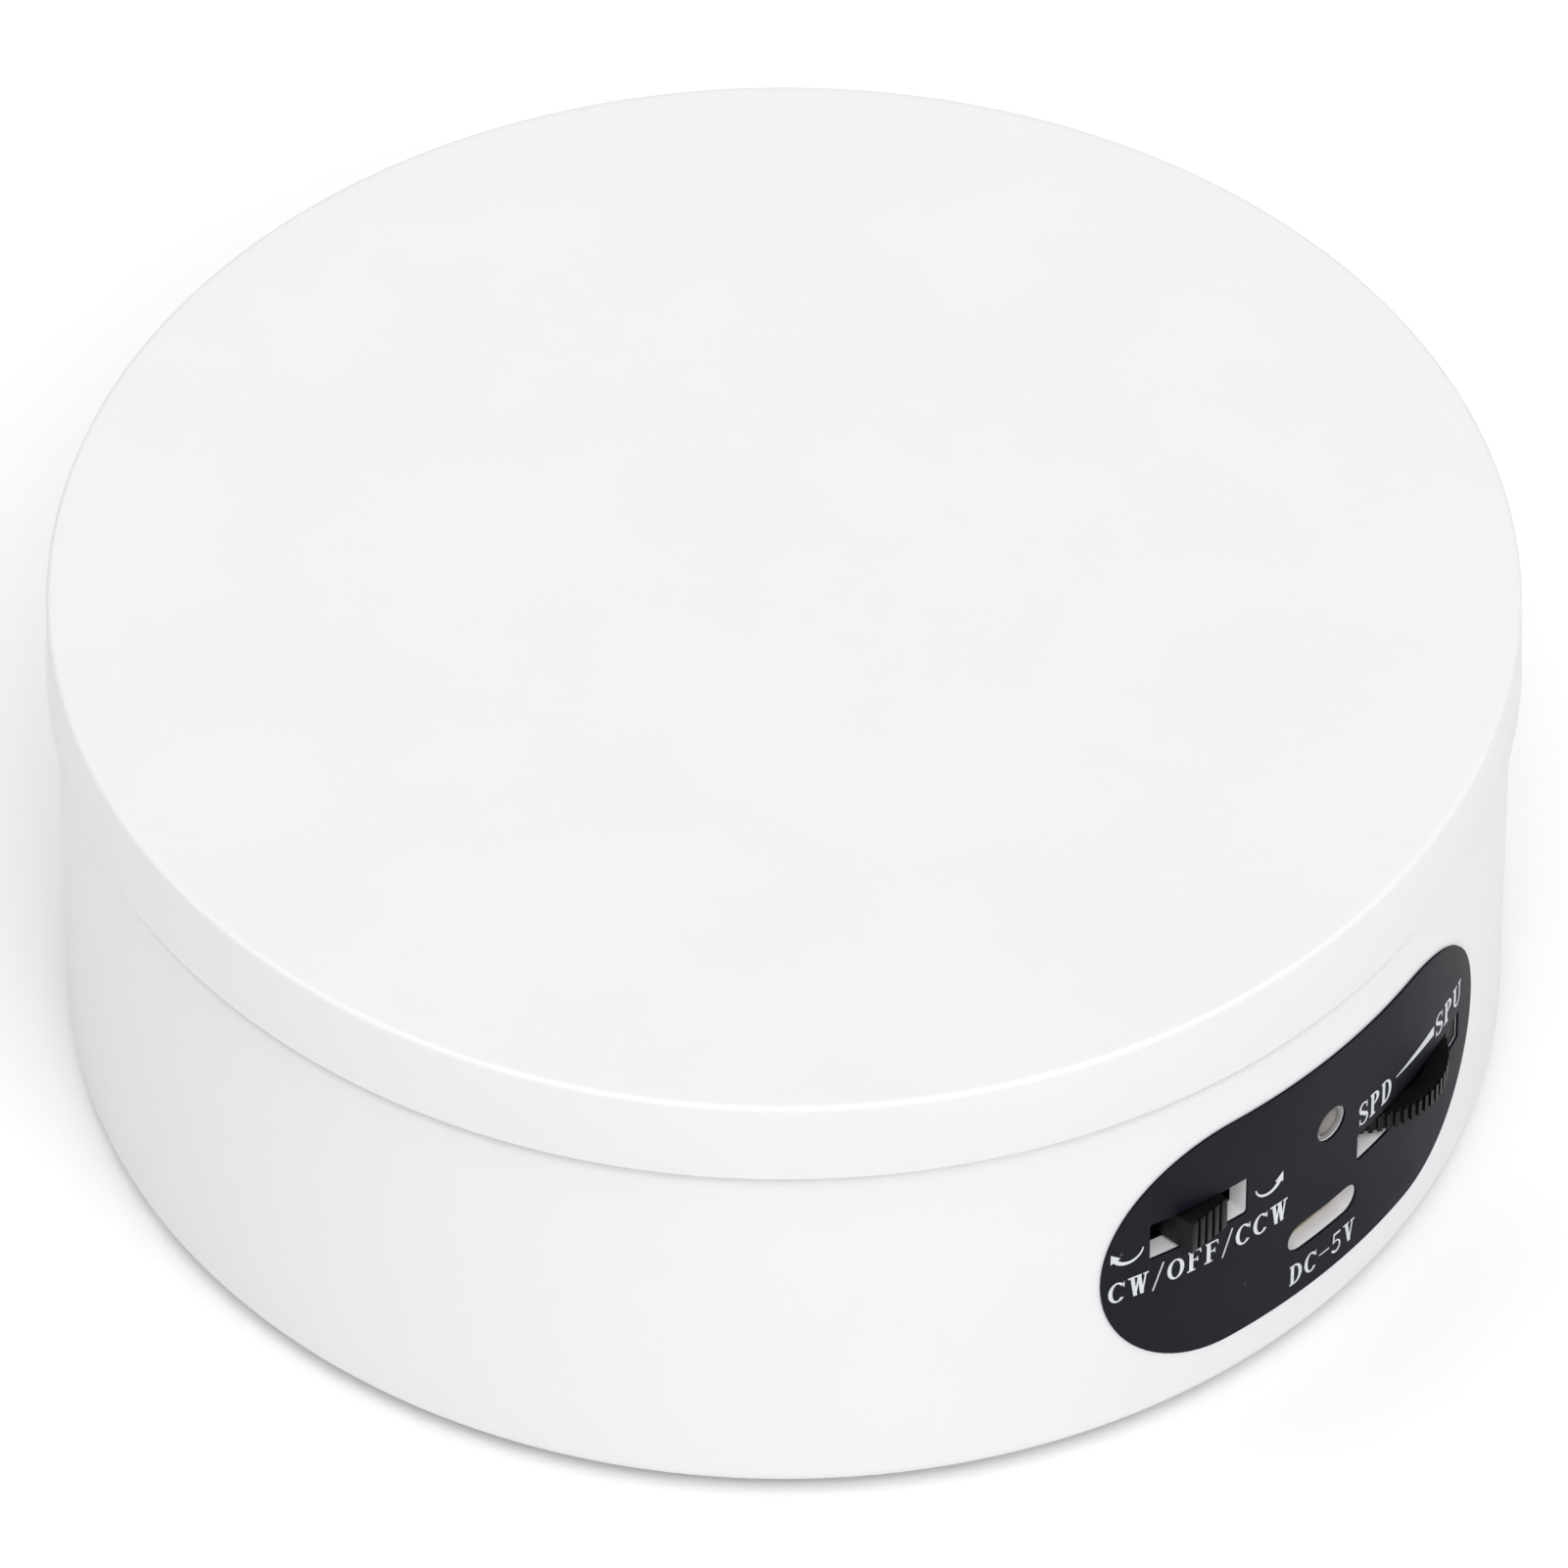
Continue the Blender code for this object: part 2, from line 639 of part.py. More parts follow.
def add_posts(housing):
    """Screw posts that hang from the deck."""
    ceiling = DECK_UNDERSIDE + OVERLAP
    posts = [(place, COVER_POST_RADIUS, COVER_TOP + FIT, COVER_SCREW) for place in cover_post_places()]
    posts += [(place, PLATE_POST_RADIUS, PLATE_TOP + FIT, PLATE_SCREW) for place in plate_post_places()]
    posts += [(place, BOARD_POST[0] / 2, BOARD_TOP + FIT, BOARD_SCREW) for place in board_post_places()]
    for place, radius, bottom, screw in posts:
        join(housing, rod("post", place, radius, bottom, ceiling))
        cut(housing, rod("pilot", place, screw[2] + FIT, bottom - OVERLAP, bottom + screw[3]))


def roller_angles():
    """The bearings of the rollers round the deck, in degrees."""
    return [360 * i / ROLLERS for i in range(ROLLERS)]


def add_roller_seats(housing):
    """For each roller, an opening through the deck and a lug at each end of its pin."""
    half_gap = ROLLER_WIDTH / 2 + PLAY
    half_slot = ROLLER_RADIUS + PLAY
    lug_top = ROLLER_AXIS + ROLLER_PIN_RADIUS + FIT + LUG_COVER
    for angle in roller_angles():
        turn = Matrix.Rotation(math.radians(angle), 4, "Z")
        for side in (-1, 1):
            middle = TRACK_RADIUS + side * (half_gap + LUG / 2)
            low = (middle - LUG / 2, -LUG_WIDTH / 2, DECK_UNDERSIDE + OVERLAP)
            high = (middle + LUG / 2, LUG_WIDTH / 2, lug_top)
            lug = block("lug", low, high)
            lug.data.transform(turn)
            join(housing, lug)
        low = (TRACK_RADIUS - half_gap, -half_slot, DECK_UNDERSIDE - OVERLAP)
        high = (TRACK_RADIUS + half_gap, half_slot, lug_top + OVERLAP)
        slot = block("slot", low, high)
        slot.data.transform(turn)
        cut(housing, slot)
        reach = half_gap + LUG + 2 * OVERLAP
        bore = rod("bore", (0.0, 0.0), ROLLER_PIN_RADIUS + FIT, -reach, reach)
        bore.data.transform(turn @ roller_frame())
        cut(housing, bore)


def roller_frame():
    """Lays an upright shape on the first roller's axis."""
    return Matrix.Translation((TRACK_RADIUS, 0.0, ROLLER_AXIS)) @ Matrix.Rotation(math.radians(90), 4, "Y")


def panel_loops():
    """The panel's openings as loops of (place along the wall, height)."""
    return {
        "window": circle(LED_PLACE, LED_WINDOW_RADIUS, SMALL_FACETS),
        "socket": stadium(SOCKET_PLACE, *SOCKET_SLOT, steps=6),
        "switch": rectangle(SWITCH_PLACE, SWITCH_SLOT),
        "wheel": rectangle(WHEEL_PLACE, WHEEL_SLOT),
    }


def cut_panel(housing):
    """The panel's openings through the front wall, all cut straight back along +Y."""
    front, back = BASE_RADIUS + 2 * WALL, BASE_RADIUS - 5 * WALL
    for loop in panel_loops().values():
        flat = [(wall_x(along), height) for along, height in loop]
        cut(housing, lay_forward(prism("opening", [flat], back, front)))


# ---------------------------------------------------------------- underside

def make_cover(finish):
    """The round bottom cover, with countersunk seats for its screws and recesses for the feet."""
    radius = INNER_RADIUS - FIT
    profile = [(0.0, COVER_TOP), (radius, COVER_TOP), (radius, SHELL_BOTTOM), (0.0, SHELL_BOTTOM)]
    cover = turned("bottom_cover", profile, WIDE_FACETS)
    seat_top = SHELL_BOTTOM + COVER_SCREW[1] + FIT
    for place in cover_post_places():
        cut(cover, rod("seat", place, COVER_SCREW[0] + FIT, SHELL_BOTTOM - OVERLAP, seat_top))
        cut(cover, rod("hole", place, COVER_SCREW[2] + FIT, SHELL_BOTTOM - OVERLAP, COVER_TOP + OVERLAP))
    for place in foot_places():
        top = SHELL_BOTTOM + FOOT_SEAT
        cut(cover, rod("recess", place, FOOT_RADIUS + FIT, SHELL_BOTTOM - OVERLAP, top, ROUND_FACETS))
    return dress(cover, finish)


def foot_places():
    """Where the feet stand."""
    return [polar(INNER_RADIUS - FOOT_INSET, 360 * i / FEET) for i in range(FEET)]


def make_feet(finish):
    """Round rubber feet with a chamfered tread."""
    top = SHELL_BOTTOM + FOOT_SEAT - FIT
    profile = [(0.0, top), (FOOT_RADIUS, top), (FOOT_RADIUS, FOOT_CHAMFER)]
    profile += [(FOOT_RADIUS - FOOT_CHAMFER, 0.0), (0.0, 0.0)]
    for number, place in enumerate(foot_places(), 1):
        foot = turned(f"rubber_foot_{number}", profile, ROUND_FACETS)
        foot.location = (*place, 0.0)
        dress(foot, finish)


def make_cover_screws(finish):
    """The screws that close the base."""
    for number, place in enumerate(cover_post_places(), 1):
        screw = make_screw(f"cover_screw_{number}", COVER_SCREW, finish)
        place_screw(screw, (*place, SHELL_BOTTOM + COVER_SCREW[1]))


# ---------------------------------------------------------------- rollers

def make_rollers(roller_finish, pin_finish):
    """Rollers whose axes point straight out from the centre, each on its own pin."""
    bore = ROLLER_PIN_RADIUS + RUNNING_FIT
    half = ROLLER_WIDTH / 2
    shoulder, tread = ROLLER_RADIUS - ROLLER_CHAMFER, half - ROLLER_CHAMFER
    profile = [(bore, half), (shoulder, half), (ROLLER_RADIUS, tread)]
    profile += [(ROLLER_RADIUS, -tread), (shoulder, -half), (bore, -half)]
    reach = half + PLAY + LUG
    for number, angle in enumerate(roller_angles(), 1):
        place = Matrix.Rotation(math.radians(angle), 4, "Z") @ roller_frame()
        roller = turned(f"support_roller_{number}", profile, ROUND_FACETS)
        roller.matrix_world = place
        dress(roller, roller_finish)
        pin = rod(f"roller_axle_{number}", (0.0, 0.0), ROLLER_PIN_RADIUS, -reach, reach)
        pin.matrix_world = place
        dress(pin, pin_finish)


# ---------------------------------------------------------------- gear train and motor

def make_output_gear(phases, finish):
    """The last gear, fixed on the output shaft."""
    bore = circle((0.0, 0.0), OUTPUT_SHAFT_RADIUS + FIT, ROUND_FACETS)
    outline = wheel_outline(phases[0][0])
    return dress(prism("output_gear", [outline, bore], OUTPUT_LEVEL, OUTPUT_LEVEL + GEAR_FACE), finish)


def make_compound(name, centre, level, wheel_phase, pinion_phase, finish):
    """A large gear with the next stage's pinion moulded on top, on its own axis."""
    top = level + 2 * GEAR_FACE + GEAR_GAP
    gear = prism(name, [wheel_outline(wheel_phase)], level, level + GEAR_FACE)
    pinion = prism("pinion", [pinion_outline(pinion_phase)], level + GEAR_FACE - OVERLAP, top)
    join(gear, pinion)
    hub_bottom = level - GEAR_GAP
    join(gear, rod("hub", (0.0, 0.0), GEAR_HUB_RADIUS, hub_bottom, level + OVERLAP, ROUND_FACETS))
    bore = AXLE_RADIUS + RUNNING_FIT
    cut(gear, rod("bore", (0.0, 0.0), bore, hub_bottom - OVERLAP, top + OVERLAP, ROUND_FACETS))
    gear.location = (*centre, 0.0)
    for modifier in gear.modifiers:
        modifier.object.location = gear.location
    return dress(gear, finish)


def make_axle(name, centre, top, finish):
    """A gear's steel pin, seated in the gear plate."""
    pin = rod(name, centre, AXLE_RADIUS, PLATE_BOTTOM + FIT, top, ROUND_FACETS)
    return dress(stand_at(pin, centre), finish)


def make_gears(finishes):
    """The whole train, from the output gear back to the motor's pinion."""
    centres, phases = train_centres(), train_phases()
    make_output_gear(phases, finishes["gear"])
    make_compound("second_gear", centres[1], SECOND_LEVEL, phases[1][0], phases[0][1], finishes["gear"])
    make_compound("first_gear", centres[2], FIRST_LEVEL, phases[2][0], phases[1][1], finishes["gear"])
    make_axle("second_gear_axle", centres[1], OUTPUT_LEVEL + GEAR_FACE + GEAR_GAP, finishes["steel"])
    make_axle("first_gear_axle", centres[2], SECOND_LEVEL + GEAR_FACE + GEAR_GAP, finishes["steel"])
    bore = circle((0.0, 0.0), AXLE_RADIUS + FIT, SMALL_FACETS)
    pinion = prism("motor_pinion", [pinion_outline(phases[2][1]), bore], FIRST_LEVEL, FIRST_LEVEL + GEAR_FACE)
    pinion.location = (*centres[3], 0.0)
    dress(pinion, finishes["brass"])


def plate_outline():
    """The gear plate's outline: one convex line round its posts, its bearings and the motor."""
    centres = train_centres()
    rounds = [(place, PLATE_POST_RADIUS + PLATE_MARGIN) for place in plate_post_places()]
    rounds += [(centre, BUSH_RADIUS + PLATE_MARGIN) for centre in centres[:3]]
    rounds.append((centres[3], MOTOR_RADIUS))
    points = []
    for centre, radius in rounds:
        points += circle(centre, radius, ROUND_FACETS)
    return hull(points)


def motor_screw_places():
    """The two screws that hold the motor, either side of its shaft and square to its gear."""
    x, y = train_centres()[3]
    dx, dy = polar(MOTOR_SCREW_SPREAD, STAGE_BEARINGS[2] + 90)
    return [(x + dx, y + dy), (x - dx, y - dy)]


def make_plate(finish):
    """The plate that carries the motor, the gear pins and the lower bush."""
    centres = train_centres()
    loops = [plate_outline(), circle(centres[0], BUSH_RADIUS + FIT, ROUND_FACETS)]
    loops += [circle(centre, AXLE_RADIUS + FIT, SMALL_FACETS) for centre in centres[1:3]]
    loops.append(circle(centres[3], motor_boss_radius() + FIT, ROUND_FACETS))
    loops += [circle(place, PLATE_SCREW[2] + FIT, SMALL_FACETS) for place in plate_post_places()]
    loops += [circle(place, MOTOR_SCREW[2] + FIT, SMALL_FACETS) for place in motor_screw_places()]
    return dress(prism("gear_plate", loops, PLATE_BOTTOM, PLATE_TOP), finish)


def make_plate_screws(finish):
    """The screws that hold the gear plate to the deck's posts."""
    for number, place in enumerate(plate_post_places(), 1):
        screw = make_screw(f"plate_screw_{number}", PLATE_SCREW, finish)
        place_screw(screw, (*place, PLATE_BOTTOM - FIT))


def make_bushes(finish):
    """The brass bushes that the output shaft turns in: one in the deck, one in the gear plate."""
    bore = OUTPUT_SHAFT_RADIUS + RUNNING_FIT
    for name, low, high in (
        ("upper_bush", DECK_BOSS_BOTTOM, DECK_TOP),
        ("lower_bush", PLATE_BOTTOM, PLATE_TOP + GEAR_GAP),
    ):
        profile = [(bore, high), (BUSH_RADIUS, high), (BUSH_RADIUS, low), (bore, low)]
        dress(turned(name, profile, ROUND_FACETS), finish)


def motor_boss_radius():
    """The round boss on the motor's face that centres it in the gear plate."""
    return AXLE_RADIUS + BUSH_WALL


def make_motor(finishes):
    """The motor's steel can and plastic end cap, its shaft and its two screws."""
    x, y = train_centres()[3]
    bottom = MOTOR_TOP - MOTOR_HEIGHT
    boss, bore = motor_boss_radius(), AXLE_RADIUS + RUNNING_FIT
    inset = MOTOR_RADIUS - MOTOR_EDGE
    can = turned(
        "motor_can",
        [
            (bore, PLATE_TOP),
            (boss, PLATE_TOP),
            (boss, MOTOR_TOP),
            (inset, MOTOR_TOP),
            (MOTOR_RADIUS, MOTOR_TOP - MOTOR_EDGE),
            (MOTOR_RADIUS, bottom),
            (bore, bottom),
        ],
        ROUND_FACETS,
    )
    can.location = (x, y, 0.0)
    for place in motor_screw_places():
        cut(can, rod("pilot", place, MOTOR_SCREW[2] + FIT, MOTOR_TOP - MOTOR_SCREW[3], MOTOR_TOP + OVERLAP))
    dress(can, finishes["steel"])
    cap_top = bottom - FIT
    cap_bottom = cap_top - MOTOR_CAP
    cap_profile = [(0.0, cap_top), (inset, cap_top), (inset, cap_bottom), (0.0, cap_bottom)]
    cap = turned("motor_end_cap", cap_profile, ROUND_FACETS)
    cap.location = (x, y, 0.0)
    dress(cap, finishes["dark"])
    shaft = rod("motor_shaft", (0.0, 0.0), AXLE_RADIUS, bottom + FIT, FIRST_LEVEL + GEAR_FACE, ROUND_FACETS)
    shaft.location = (x, y, 0.0)
    dress(shaft, finishes["steel"])
    for number, place in enumerate(motor_screw_places(), 1):
        screw = make_screw(f"motor_screw_{number}", MOTOR_SCREW, finishes["screw"])
        place_screw(screw, (*place, PLATE_TOP + FIT), (math.pi, 0.0, 0.0))


def smooth_route(points, steps):
    """Points on one smooth curve through these points."""
    route = []
    padded = [2 * points[0] - points[1], *points, 2 * points[-1] - points[-2]]
    for before, start, end, after in zip(padded, padded[1:], padded[2:], padded[3:]):
        for step in range(steps):
            t = step / steps
            bend = (2 * before - 5 * start + 4 * end - after) * t
            bend += (3 * start - before - 3 * end + after) * t * t
            route.append(start + (end - before + bend) * t / 2)
    route.append(points[-1])
    return route


def tube(name, points, radius, finish):
    """A round wire along these points."""
    curve = bpy.data.curves.new(name, "CURVE")
    curve.dimensions = "3D"
    curve.bevel_depth = radius
    curve.bevel_resolution = 2
    curve.use_fill_caps = True
    spline = curve.splines.new("POLY")
    spline.points.add(len(points) - 1)
    for target, point in zip(spline.points, points):
        target.co = (*point, 1.0)
    wire = new_object(name, curve)
    wire.data.materials.append(finish)
    return wire


def make_motor_leads(finishes):
    """The red and the black lead from the motor's end cap to the circuit board's back edge."""
    x, y = train_centres()[3]
    outlet = MOTOR_TOP - MOTOR_HEIGHT - FIT - MOTOR_CAP / 2
    for name, side, finish in (("motor_lead_red", 1, "red"), ("motor_lead_black", -1, "black")):
        shift = side * 2.0 * MM
        start = Vector((x + shift, y - MOTOR_RADIUS - FIT + 0.5 * MM, outlet))
        pad = Vector((8.0 * MM + shift, BOARD_BACK - 3.0 * MM, BOARD_TOP + FIT))
        points = [
            start,
            start + Vector((0.0, -3.0 * MM, -0.2 * MM)),
            start.lerp(pad, 0.35) + Vector((1.5 * MM, 0.0, -2.0 * MM)),
            start.lerp(pad, 0.7) + Vector((0.0, 0.0, -1.5 * MM)),
            Vector((pad.x, BOARD_BACK + 3.0 * MM, BOARD_TOP + 1.2 * MM)),
            Vector((pad.x, BOARD_BACK - 1.0 * MM, BOARD_TOP + 3.0 * MM)),
            pad + Vector((0.0, 0.0, 1.6 * MM)),
            pad,
        ]
        tube(name, smooth_route(points, 3), LEAD_RADIUS, finishes[finish])


# ---------------------------------------------------------------- control panel

def make_label(finish):
    """The stadium-shaped label, bent round the wall, with the panel's openings cut through it."""
    outline = stadium((0.0, PANEL_HEIGHT), LABEL_LENGTH, LABEL_HEIGHT, steps=16)
    loops = [outline, *panel_loops().values()]
    label = prism("control_label", loops, 0.0, LABEL_THICKNESS)
    shape = bmesh.new()
    shape.from_mesh(label.data)
    facet = 2 * math.pi * BASE_RADIUS / WIDE_FACETS
    count = math.ceil(LABEL_LENGTH / 2 / facet)
    for i in range(-count, count + 1):
        everything = shape.verts[:] + shape.edges[:] + shape.faces[:]
        place = (i * facet, 0.0, 0.0)
        bmesh.ops.bisect_plane(shape, geom=everything, plane_co=place, plane_no=(1.0, 0.0, 0.0))
    for vertex in shape.verts:
        along, height, depth = vertex.co
        radius = BASE_RADIUS + LABEL_GAP + depth
        angle = along / BASE_RADIUS
        vertex.co = (radius * math.sin(angle), -radius * math.cos(angle), height)
    shape.to_mesh(label.data)
    shape.free()
    return dress(label, finish)


def make_board(finish):
    """The circuit board, flat across the front of the base."""
    half = BOARD_SIZE[0] / 2
    board = block("circuit_board", (-half, BOARD_FRONT, BOARD_BOTTOM), (half, BOARD_BACK, BOARD_TOP))
    for place in board_post_places():
        cut(board, rod("hole", place, BOARD_SCREW[2] + FIT, BOARD_BOTTOM - OVERLAP, BOARD_TOP + OVERLAP))
    return dress(board, finish)


def make_board_screws(finish):
    """The screws that hold the board up to its posts."""
    for number, place in enumerate(board_post_places(), 1):
        screw = make_screw(f"board_screw_{number}", BOARD_SCREW, finish)
        place_screw(screw, (*place, BOARD_BOTTOM - FIT))


def make_socket(shell_finish, insert_finish):
    """The power socket under the board: a pressed shell, and the insert that carries its tongue."""
    x, height = wall_x(SOCKET_PLACE[0]), SOCKET_PLACE[1]
    mouth = BASE_RADIUS - SOCKET_RECESS
    back = mouth - SOCKET_LENGTH
    width, thickness = SOCKET_SHELL
    outer = stadium((x, height), width, thickness, steps=6)
    inner = stadium((x, height), width - 2 * SOCKET_SHEET, thickness - 2 * SOCKET_SHEET, steps=6)
    dress(lay_forward(prism("usb_c_shell", [outer, inner], back, mouth)), shell_finish)
    inset = 2 * (SOCKET_SHEET + RUNNING_FIT)
    plug = stadium((x, height), width - inset, thickness - inset, steps=6)
    insert = lay_forward(prism("usb_c_insert", [plug], back, back + SOCKET_PLUG))
    tongue = rectangle((x, height), SOCKET_TONGUE)
    tip = mouth - SOCKET_TONGUE_SETBACK
    join(insert, lay_forward(prism("tongue", [tongue], back + OVERLAP, tip)))
    dress(insert, insert_finish)


def make_led(lens_finish, lead_finish):
    """The power light behind its window: a domed lens with a flange, and its two leads."""
    x, height = wall_x(LED_PLACE[0]), LED_PLACE[1]
    tip = BASE_RADIUS - LED_SETBACK
    back = tip - LED_LENGTH
    flange, flange_front = LED_RADIUS + LED_FLANGE[0], back + LED_FLANGE[1]
    dome = arc((0.0, tip - LED_RADIUS), LED_RADIUS, 72, 0, 4)
    profile = [(0.0, tip), *dome, (LED_RADIUS, flange_front), (flange, flange_front), (flange, back)]
    led = turned("power_led", [*profile, (0.0, back)], SMALL_FACETS)
    led.matrix_world = Matrix.Translation((x, 0.0, height)) @ Matrix.Rotation(math.radians(90), 4, "X")
    dress(led, lens_finish)
    pad_y = BOARD_FRONT + LED_PAD_INSET
    route = [(FIT - back, height)]
    route += arc((pad_y - LED_LEAD_BEND, height - LED_LEAD_BEND), LED_LEAD_BEND, 90, 0, 3)
    route.append((pad_y, BOARD_TOP + FIT))
    for number, side in enumerate((-1, 1), 1):
        points = [Vector((x + side * LED_LEAD_SPREAD, y, z)) for y, z in route]
        tube(f"led_lead_{number}", points, LED_LEAD_RADIUS, lead_finish)


def switch_front():
    """How far out the switch body's front face is: clear of the wall at its far corner."""
    x, width = wall_span(SWITCH_PLACE, SWITCH_SLOT)
    corner = abs(x) + width / 2 + 2 * SWITCH_WALL
    return min(SWITCH_FRONT, math.sqrt((INNER_RADIUS - FIT) ** 2 - corner**2))


def make_switch_body(finish):
    """The direction switch's case: a pocket for the knob's base, on two legs down to the board."""
    x, height = wall_x(SWITCH_PLACE[0]), SWITCH_PLACE[1]
    front = switch_front()
    back = front - SWITCH_DEPTH
    half_pocket = KNOB_SIZE[0] / 2 + KNOB_TRAVEL + FIT
    half_width = half_pocket + SWITCH_WALL
    half_height = KNOB_SIZE[1] / 2 + FIT + SWITCH_WALL
    low, high = (x - half_width, -front, height - half_height), (x + half_width, -back, height + half_height)
    body = block("direction_switch_body", low, high)
    for side in (-1, 1):
        leg_x = x + side * (half_width - SWITCH_WALL)
        leg_low = (leg_x - SWITCH_LEG / 2, SWITCH_LEG_INSET - front, BOARD_TOP + FIT)
        leg_high = (leg_x + SWITCH_LEG / 2, -back - SWITCH_LEG_INSET, height)
        join(body, block("leg", leg_low, leg_high))
    pocket_low = (x - half_pocket, -front - OVERLAP, height - KNOB_SIZE[1] / 2 - FIT)
    pocket_high = (x + half_pocket, -front + SWITCH_POCKET, height + KNOB_SIZE[1] / 2 + FIT)
    cut(body, block("pocket", pocket_low, pocket_high))
    return dress(body, finish)


def make_knob(finish):
    """The direction knob: a ribbed slider that stands out of its slot."""
    x, height = wall_x(SWITCH_PLACE[0]), SWITCH_PLACE[1]
    tip = math.sqrt(BASE_RADIUS**2 - x**2) + KNOB_STAND_OUT
    root = switch_front() - SWITCH_POCKET + FIT
    width, thickness = KNOB_SIZE
    pitch = width / KNOB_RIBS
    outline = [(x + width / 2, -root), (x - width / 2, -root)]
    for rib in range(KNOB_RIBS):
        left = x - width / 2 + rib * pitch
        if rib:
            outline += [(left - 0.15 * pitch, -tip + KNOB_GROOVE), (left + 0.15 * pitch, -tip + KNOB_GROOVE)]
        outline += [(left + 0.25 * pitch, -tip), (left + 0.75 * pitch, -tip)]
    knob = prism("direction_knob", [outline], height - thickness / 2, height + thickness / 2)
    return dress(stand_at(knob, (x, 0.0)), finish)


def speed_centre():
    """The speed wheel's upright axis."""
    angle = (WHEEL_PLACE[0] + SPEED_SHIFT) / BASE_RADIUS
    radius = BASE_RADIUS + SPEED_STAND_OUT - SPEED_RADIUS
    return radius * math.sin(angle), -radius * math.cos(angle)


def make_speed_wheel(finish):
    """The knurled speed wheel, with the spindle that turns the potentiometer above it."""
    low = WHEEL_PLACE[1] - SPEED_THICKNESS / 2
    high = low + SPEED_THICKNESS
    outline = []
    for tooth in range(SPEED_TEETH):
        step = 360 / SPEED_TEETH
        for share, radius in ((0.0, SPEED_RADIUS - SPEED_TOOTH), (0.3, SPEED_RADIUS), (0.7, SPEED_RADIUS)):
            outline.append(polar(radius, (tooth + share) * step))
    wheel = prism("speed_wheel", [outline], low, high)
    spindle = rod("spindle", (0.0, 0.0), SPEED_SPINDLE_RADIUS, high - OVERLAP, high + SPEED_SPINDLE)
    join(wheel, spindle)
    centre = speed_centre()
    wheel.location = (*centre, 0.0)
    for modifier in wheel.modifiers:
        modifier.object.location = wheel.location
    return dress(wheel, finish)


def make_pot(finish):
    """The potentiometer's body: a round housing over the wheel, and a foot behind it on the board."""
    x, y = speed_centre()
    low = WHEEL_PLACE[1] + SPEED_THICKNESS / 2 + FIT
    high = low + POT_HEIGHT
    pot = rod("speed_pot_body", (x, y), POT_RADIUS, low, high, ROUND_FACETS)
    half = POT_ARM_WIDTH / 2
    front = y + SPEED_RADIUS + PLAY
    back = front + POT_FOOT
    join(pot, block("arm", (x - half, y, low), (x + half, back, high)))
    join(pot, block("foot", (x - half, front, BOARD_TOP + FIT), (x + half, back, low + OVERLAP)))
    bore = SPEED_SPINDLE_RADIUS + RUNNING_FIT
    cut(pot, rod("bore", (x, y), bore, low - OVERLAP, low + SPEED_SPINDLE + FIT))
    return dress(pot, finish)


# ---------------------------------------------------------------- the whole object

def clear_scene():
    """An empty scene with one collection for the parts and one for the cutters."""
    for obj in list(bpy.data.objects):
        bpy.data.objects.remove(obj, do_unlink=True)
    for name in (OBJECT_NAME, "cutters"):
        collection = bpy.data.collections.new(name)
        bpy.context.scene.collection.children.link(collection)
    bpy.data.collections["cutters"].hide_render = True


def make_finishes():
    """All the materials, by a plain name."""
    return {
        "shell": new_material("white_abs", (0.9, 0.9, 0.91), 0.35),
        "label": new_material("label_film", (0.03, 0.032, 0.042), 0.45),
        "dark": new_material("black_plastic", (0.015, 0.015, 0.017), 0.4),
        "rubber": new_material("foot_rubber", (0.05, 0.05, 0.05), 0.8),
        "gear": new_material("gear_acetal", (0.85, 0.84, 0.78), 0.45),
        "brass": new_material("brass", (0.72, 0.53, 0.22), 0.3, 1.0),
        "steel": new_material("steel", (0.62, 0.63, 0.65), 0.3, 1.0),
        "screw": new_material("zinc_screw", (0.55, 0.56, 0.58), 0.35, 1.0),
        "board": new_material("board_green", (0.03, 0.2, 0.07), 0.5),
        "lens": new_material("milky_lens", (0.62, 0.58, 0.55), 0.3),
        "red": new_material("lead_red", (0.6, 0.02, 0.02), 0.5),
        "black": new_material("lead_black", (0.02, 0.02, 0.02), 0.5),
    }


def main():
    """Makes every piece, from the platter down and then the panel."""
    clear_scene()
    finishes = make_finishes()
    make_platter(finishes["shell"])
    make_track(finishes["steel"])
    make_hub(finishes["gear"])
    make_hub_screws(finishes["screw"])
    make_output_shaft(finishes["steel"])
    make_housing(finishes["shell"])
    make_cover(finishes["shell"])
    make_feet(finishes["rubber"])
    make_cover_screws(finishes["screw"])
    make_rollers(finishes["gear"], finishes["steel"])
    make_gears(finishes)
    make_plate(finishes["steel"])
    make_plate_screws(finishes["screw"])
    make_bushes(finishes["brass"])
    make_motor(finishes)
    make_motor_leads(finishes)
    make_label(finishes["label"])
    make_board(finishes["board"])
    make_board_screws(finishes["screw"])
    make_socket(finishes["steel"], finishes["dark"])
    make_led(finishes["lens"], finishes["steel"])
    make_switch_body(finishes["steel"])
    make_knob(finishes["dark"])
    make_speed_wheel(finishes["dark"])
    make_pot(finishes["dark"])


main()
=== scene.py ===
"""Looks of a small motorised pottery wheel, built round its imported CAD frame.

The frame has +Z up, its origin on the floor under the platter's centre, and the control
panel faces -Y. Every length is in metres.
"""

import json
import logging
import math
from contextlib import contextmanager
from dataclasses import dataclass, field, replace
from enum import Enum
from functools import lru_cache
from typing import Callable, Iterator, Sequence

import bpy
from mathutils import Matrix, Vector


